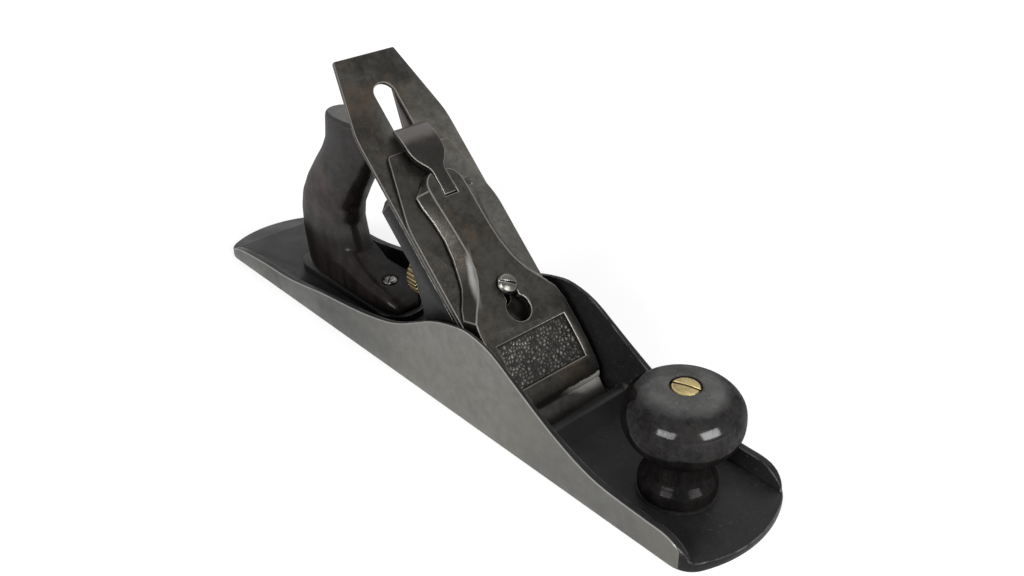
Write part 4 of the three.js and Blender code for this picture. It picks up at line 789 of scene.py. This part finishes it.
# the sunk ground of the lever cap's panel, in mm: up the bed, across it and square off it
PANEL_FOOT = 22.3
PANEL_HEAD = 42.7
PANEL_HALF = 19.7
FOOT_OFF = 9.7
HEAD_OFF = 11.05
GROUND_CLEAR = 0.02                  # above the panel's floor
GROUND_DEPTH = 0.25
GROUND_STEP = 0.36
PEBBLE_SIZE = 1.7
PEBBLE_HEIGHT = 0.5
PEBBLE_STEEP = 2.6                   # how soon a pebble's side comes to its rounded top
PATCH_SIZE = 5                       # of the lower and higher patches of pebbles
BORDER = 0.6                         # over which the pebbles come down at the panel's edge


def on_bed(across, up, off):
    """A place on the 45 degree bed: across it, up it from its foot and square off it, in mm."""
    slope = math.sqrt(0.5)
    return Vector((BED_FOOT / MM + (off - up) * slope, across, (up + off) * slope)) * MM


def pebble_top(across, up):
    """How far up a pebble the place is, from 0 between pebbles to about 1 on their tops."""
    nearest, second = mathutils.noise.voronoi(Vector((across, up, 0)) / PEBBLE_SIZE)[0][:2]
    patch = mathutils.noise.noise(Vector((across, up, 7)) / PATCH_SIZE)
    return max(0.0, min(1.0, (second - nearest) * PEBBLE_STEEP)) * (0.65 + 0.35 * patch)


def pebbled_ground():
    """The ground of the lever cap's panel, with rounded pebbles of metal standing up from it."""
    bm = bmesh.new()
    bmesh.ops.create_grid(bm, x_segments=round(2 * PANEL_HALF / GROUND_STEP),
                          y_segments=round((PANEL_HEAD - PANEL_FOOT) / GROUND_STEP), size=1)
    tops = bm.verts.layers.float.new(LIFT)
    for vert in bm.verts:
        across = vert.co.x * PANEL_HALF
        share = (vert.co.y + 1) / 2
        up = PANEL_FOOT + (PANEL_HEAD - PANEL_FOOT) * share
        floor = FOOT_OFF + (HEAD_OFF - FOOT_OFF) * share
        top = pebble_top(across, up)
        edge = min(PANEL_HALF - abs(across), up - PANEL_FOOT, PANEL_HEAD - up)
        vert.co = on_bed(across, up, floor + GROUND_CLEAR + PEBBLE_HEIGHT * top * min(1.0, edge / BORDER))
        vert[tops] = top
    bm.normal_update()
    bmesh.ops.solidify(bm, geom=bm.faces[:], thickness=GROUND_DEPTH * MM)
    finished(bm, "panel_ground", "lever_cap", pebbles, sharp_from=math.pi, hides=False)


GRIP_VOXEL = 0.8 * MM
GRIP_EASED = 14                      # rounds of smoothing
GRIP_SHARP_FROM = math.radians(60)


def carved_handle():
    """The handle with its foot and its grip run together, as a rasp and sandpaper leave them."""
    bm = clean_copy("handle")
    rough_mesh = bpy.data.meshes.new("handle_blank")
    bm.to_mesh(rough_mesh)
    bm.free()
    blank_piece = bpy.data.objects.new("handle_blank", rough_mesh)
    scene.collection.objects.link(blank_piece)
    remesh = blank_piece.modifiers.new("even", "REMESH")
    remesh.mode = "VOXEL"
    remesh.voxel_size = GRIP_VOXEL
    ease = blank_piece.modifiers.new("ease", "SMOOTH")
    ease.factor = 0.5
    ease.iterations = GRIP_EASED
    view = blank_piece.evaluated_get(bpy.context.evaluated_depsgraph_get())
    bm = bmesh.new()
    bm.from_mesh(view.to_mesh())
    view.to_mesh_clear()
    bpy.data.objects.remove(blank_piece)
    bm.faces.layers.float.new(RIM)
    finished(bm, "handle_carved", "handle", handle_wood, sharp_from=GRIP_SHARP_FROM)


SMALL_EDGE = 0.2 * MM
SCREW_EDGE = 0.25 * MM
YOKE_EDGE = 0.3 * MM
LEVER_EDGE = 0.38 * MM
PLATE_EDGE = 0.4 * MM
CAP_EDGE = 0.42 * MM
KNOB_NUT_TURN = 0.42                 # radians: its slot doesn't stop square to the plane

casting()
softened("frog", PLATE_EDGE, japan)
softened("cutter", PLATE_EDGE, cutter_steel)
softened("cap_iron", PLATE_EDGE, lip_steel)
softened("lever_cap", CAP_EDGE, cap_steel, segments=3)
pebbled_ground()
softened("cam_lever", LEVER_EDGE, blued, segments=3)
turned_knob()
carved_handle()
softened("knob_nut", SMALL_EDGE, brass, turn=KNOB_NUT_TURN)
for name in ("handle_nut", "depth_collar", "depth_wheel"):
    softened(name, SMALL_EDGE, old_brass)
for name in ("lever_cap_screw", "handle_toe_screw", "lateral_roller"):
    softened(name, SCREW_EDGE, bright)
for name in ("lever_cap_spring", "lateral_lever"):
    softened(name, SMALL_EDGE, blued)
softened("yoke", YOKE_EDGE, japan)
left_over = [name for name in nodes if not nodes[name].hide_render]
for name in left_over:
    softened(name, SMALL_EDGE, steel)
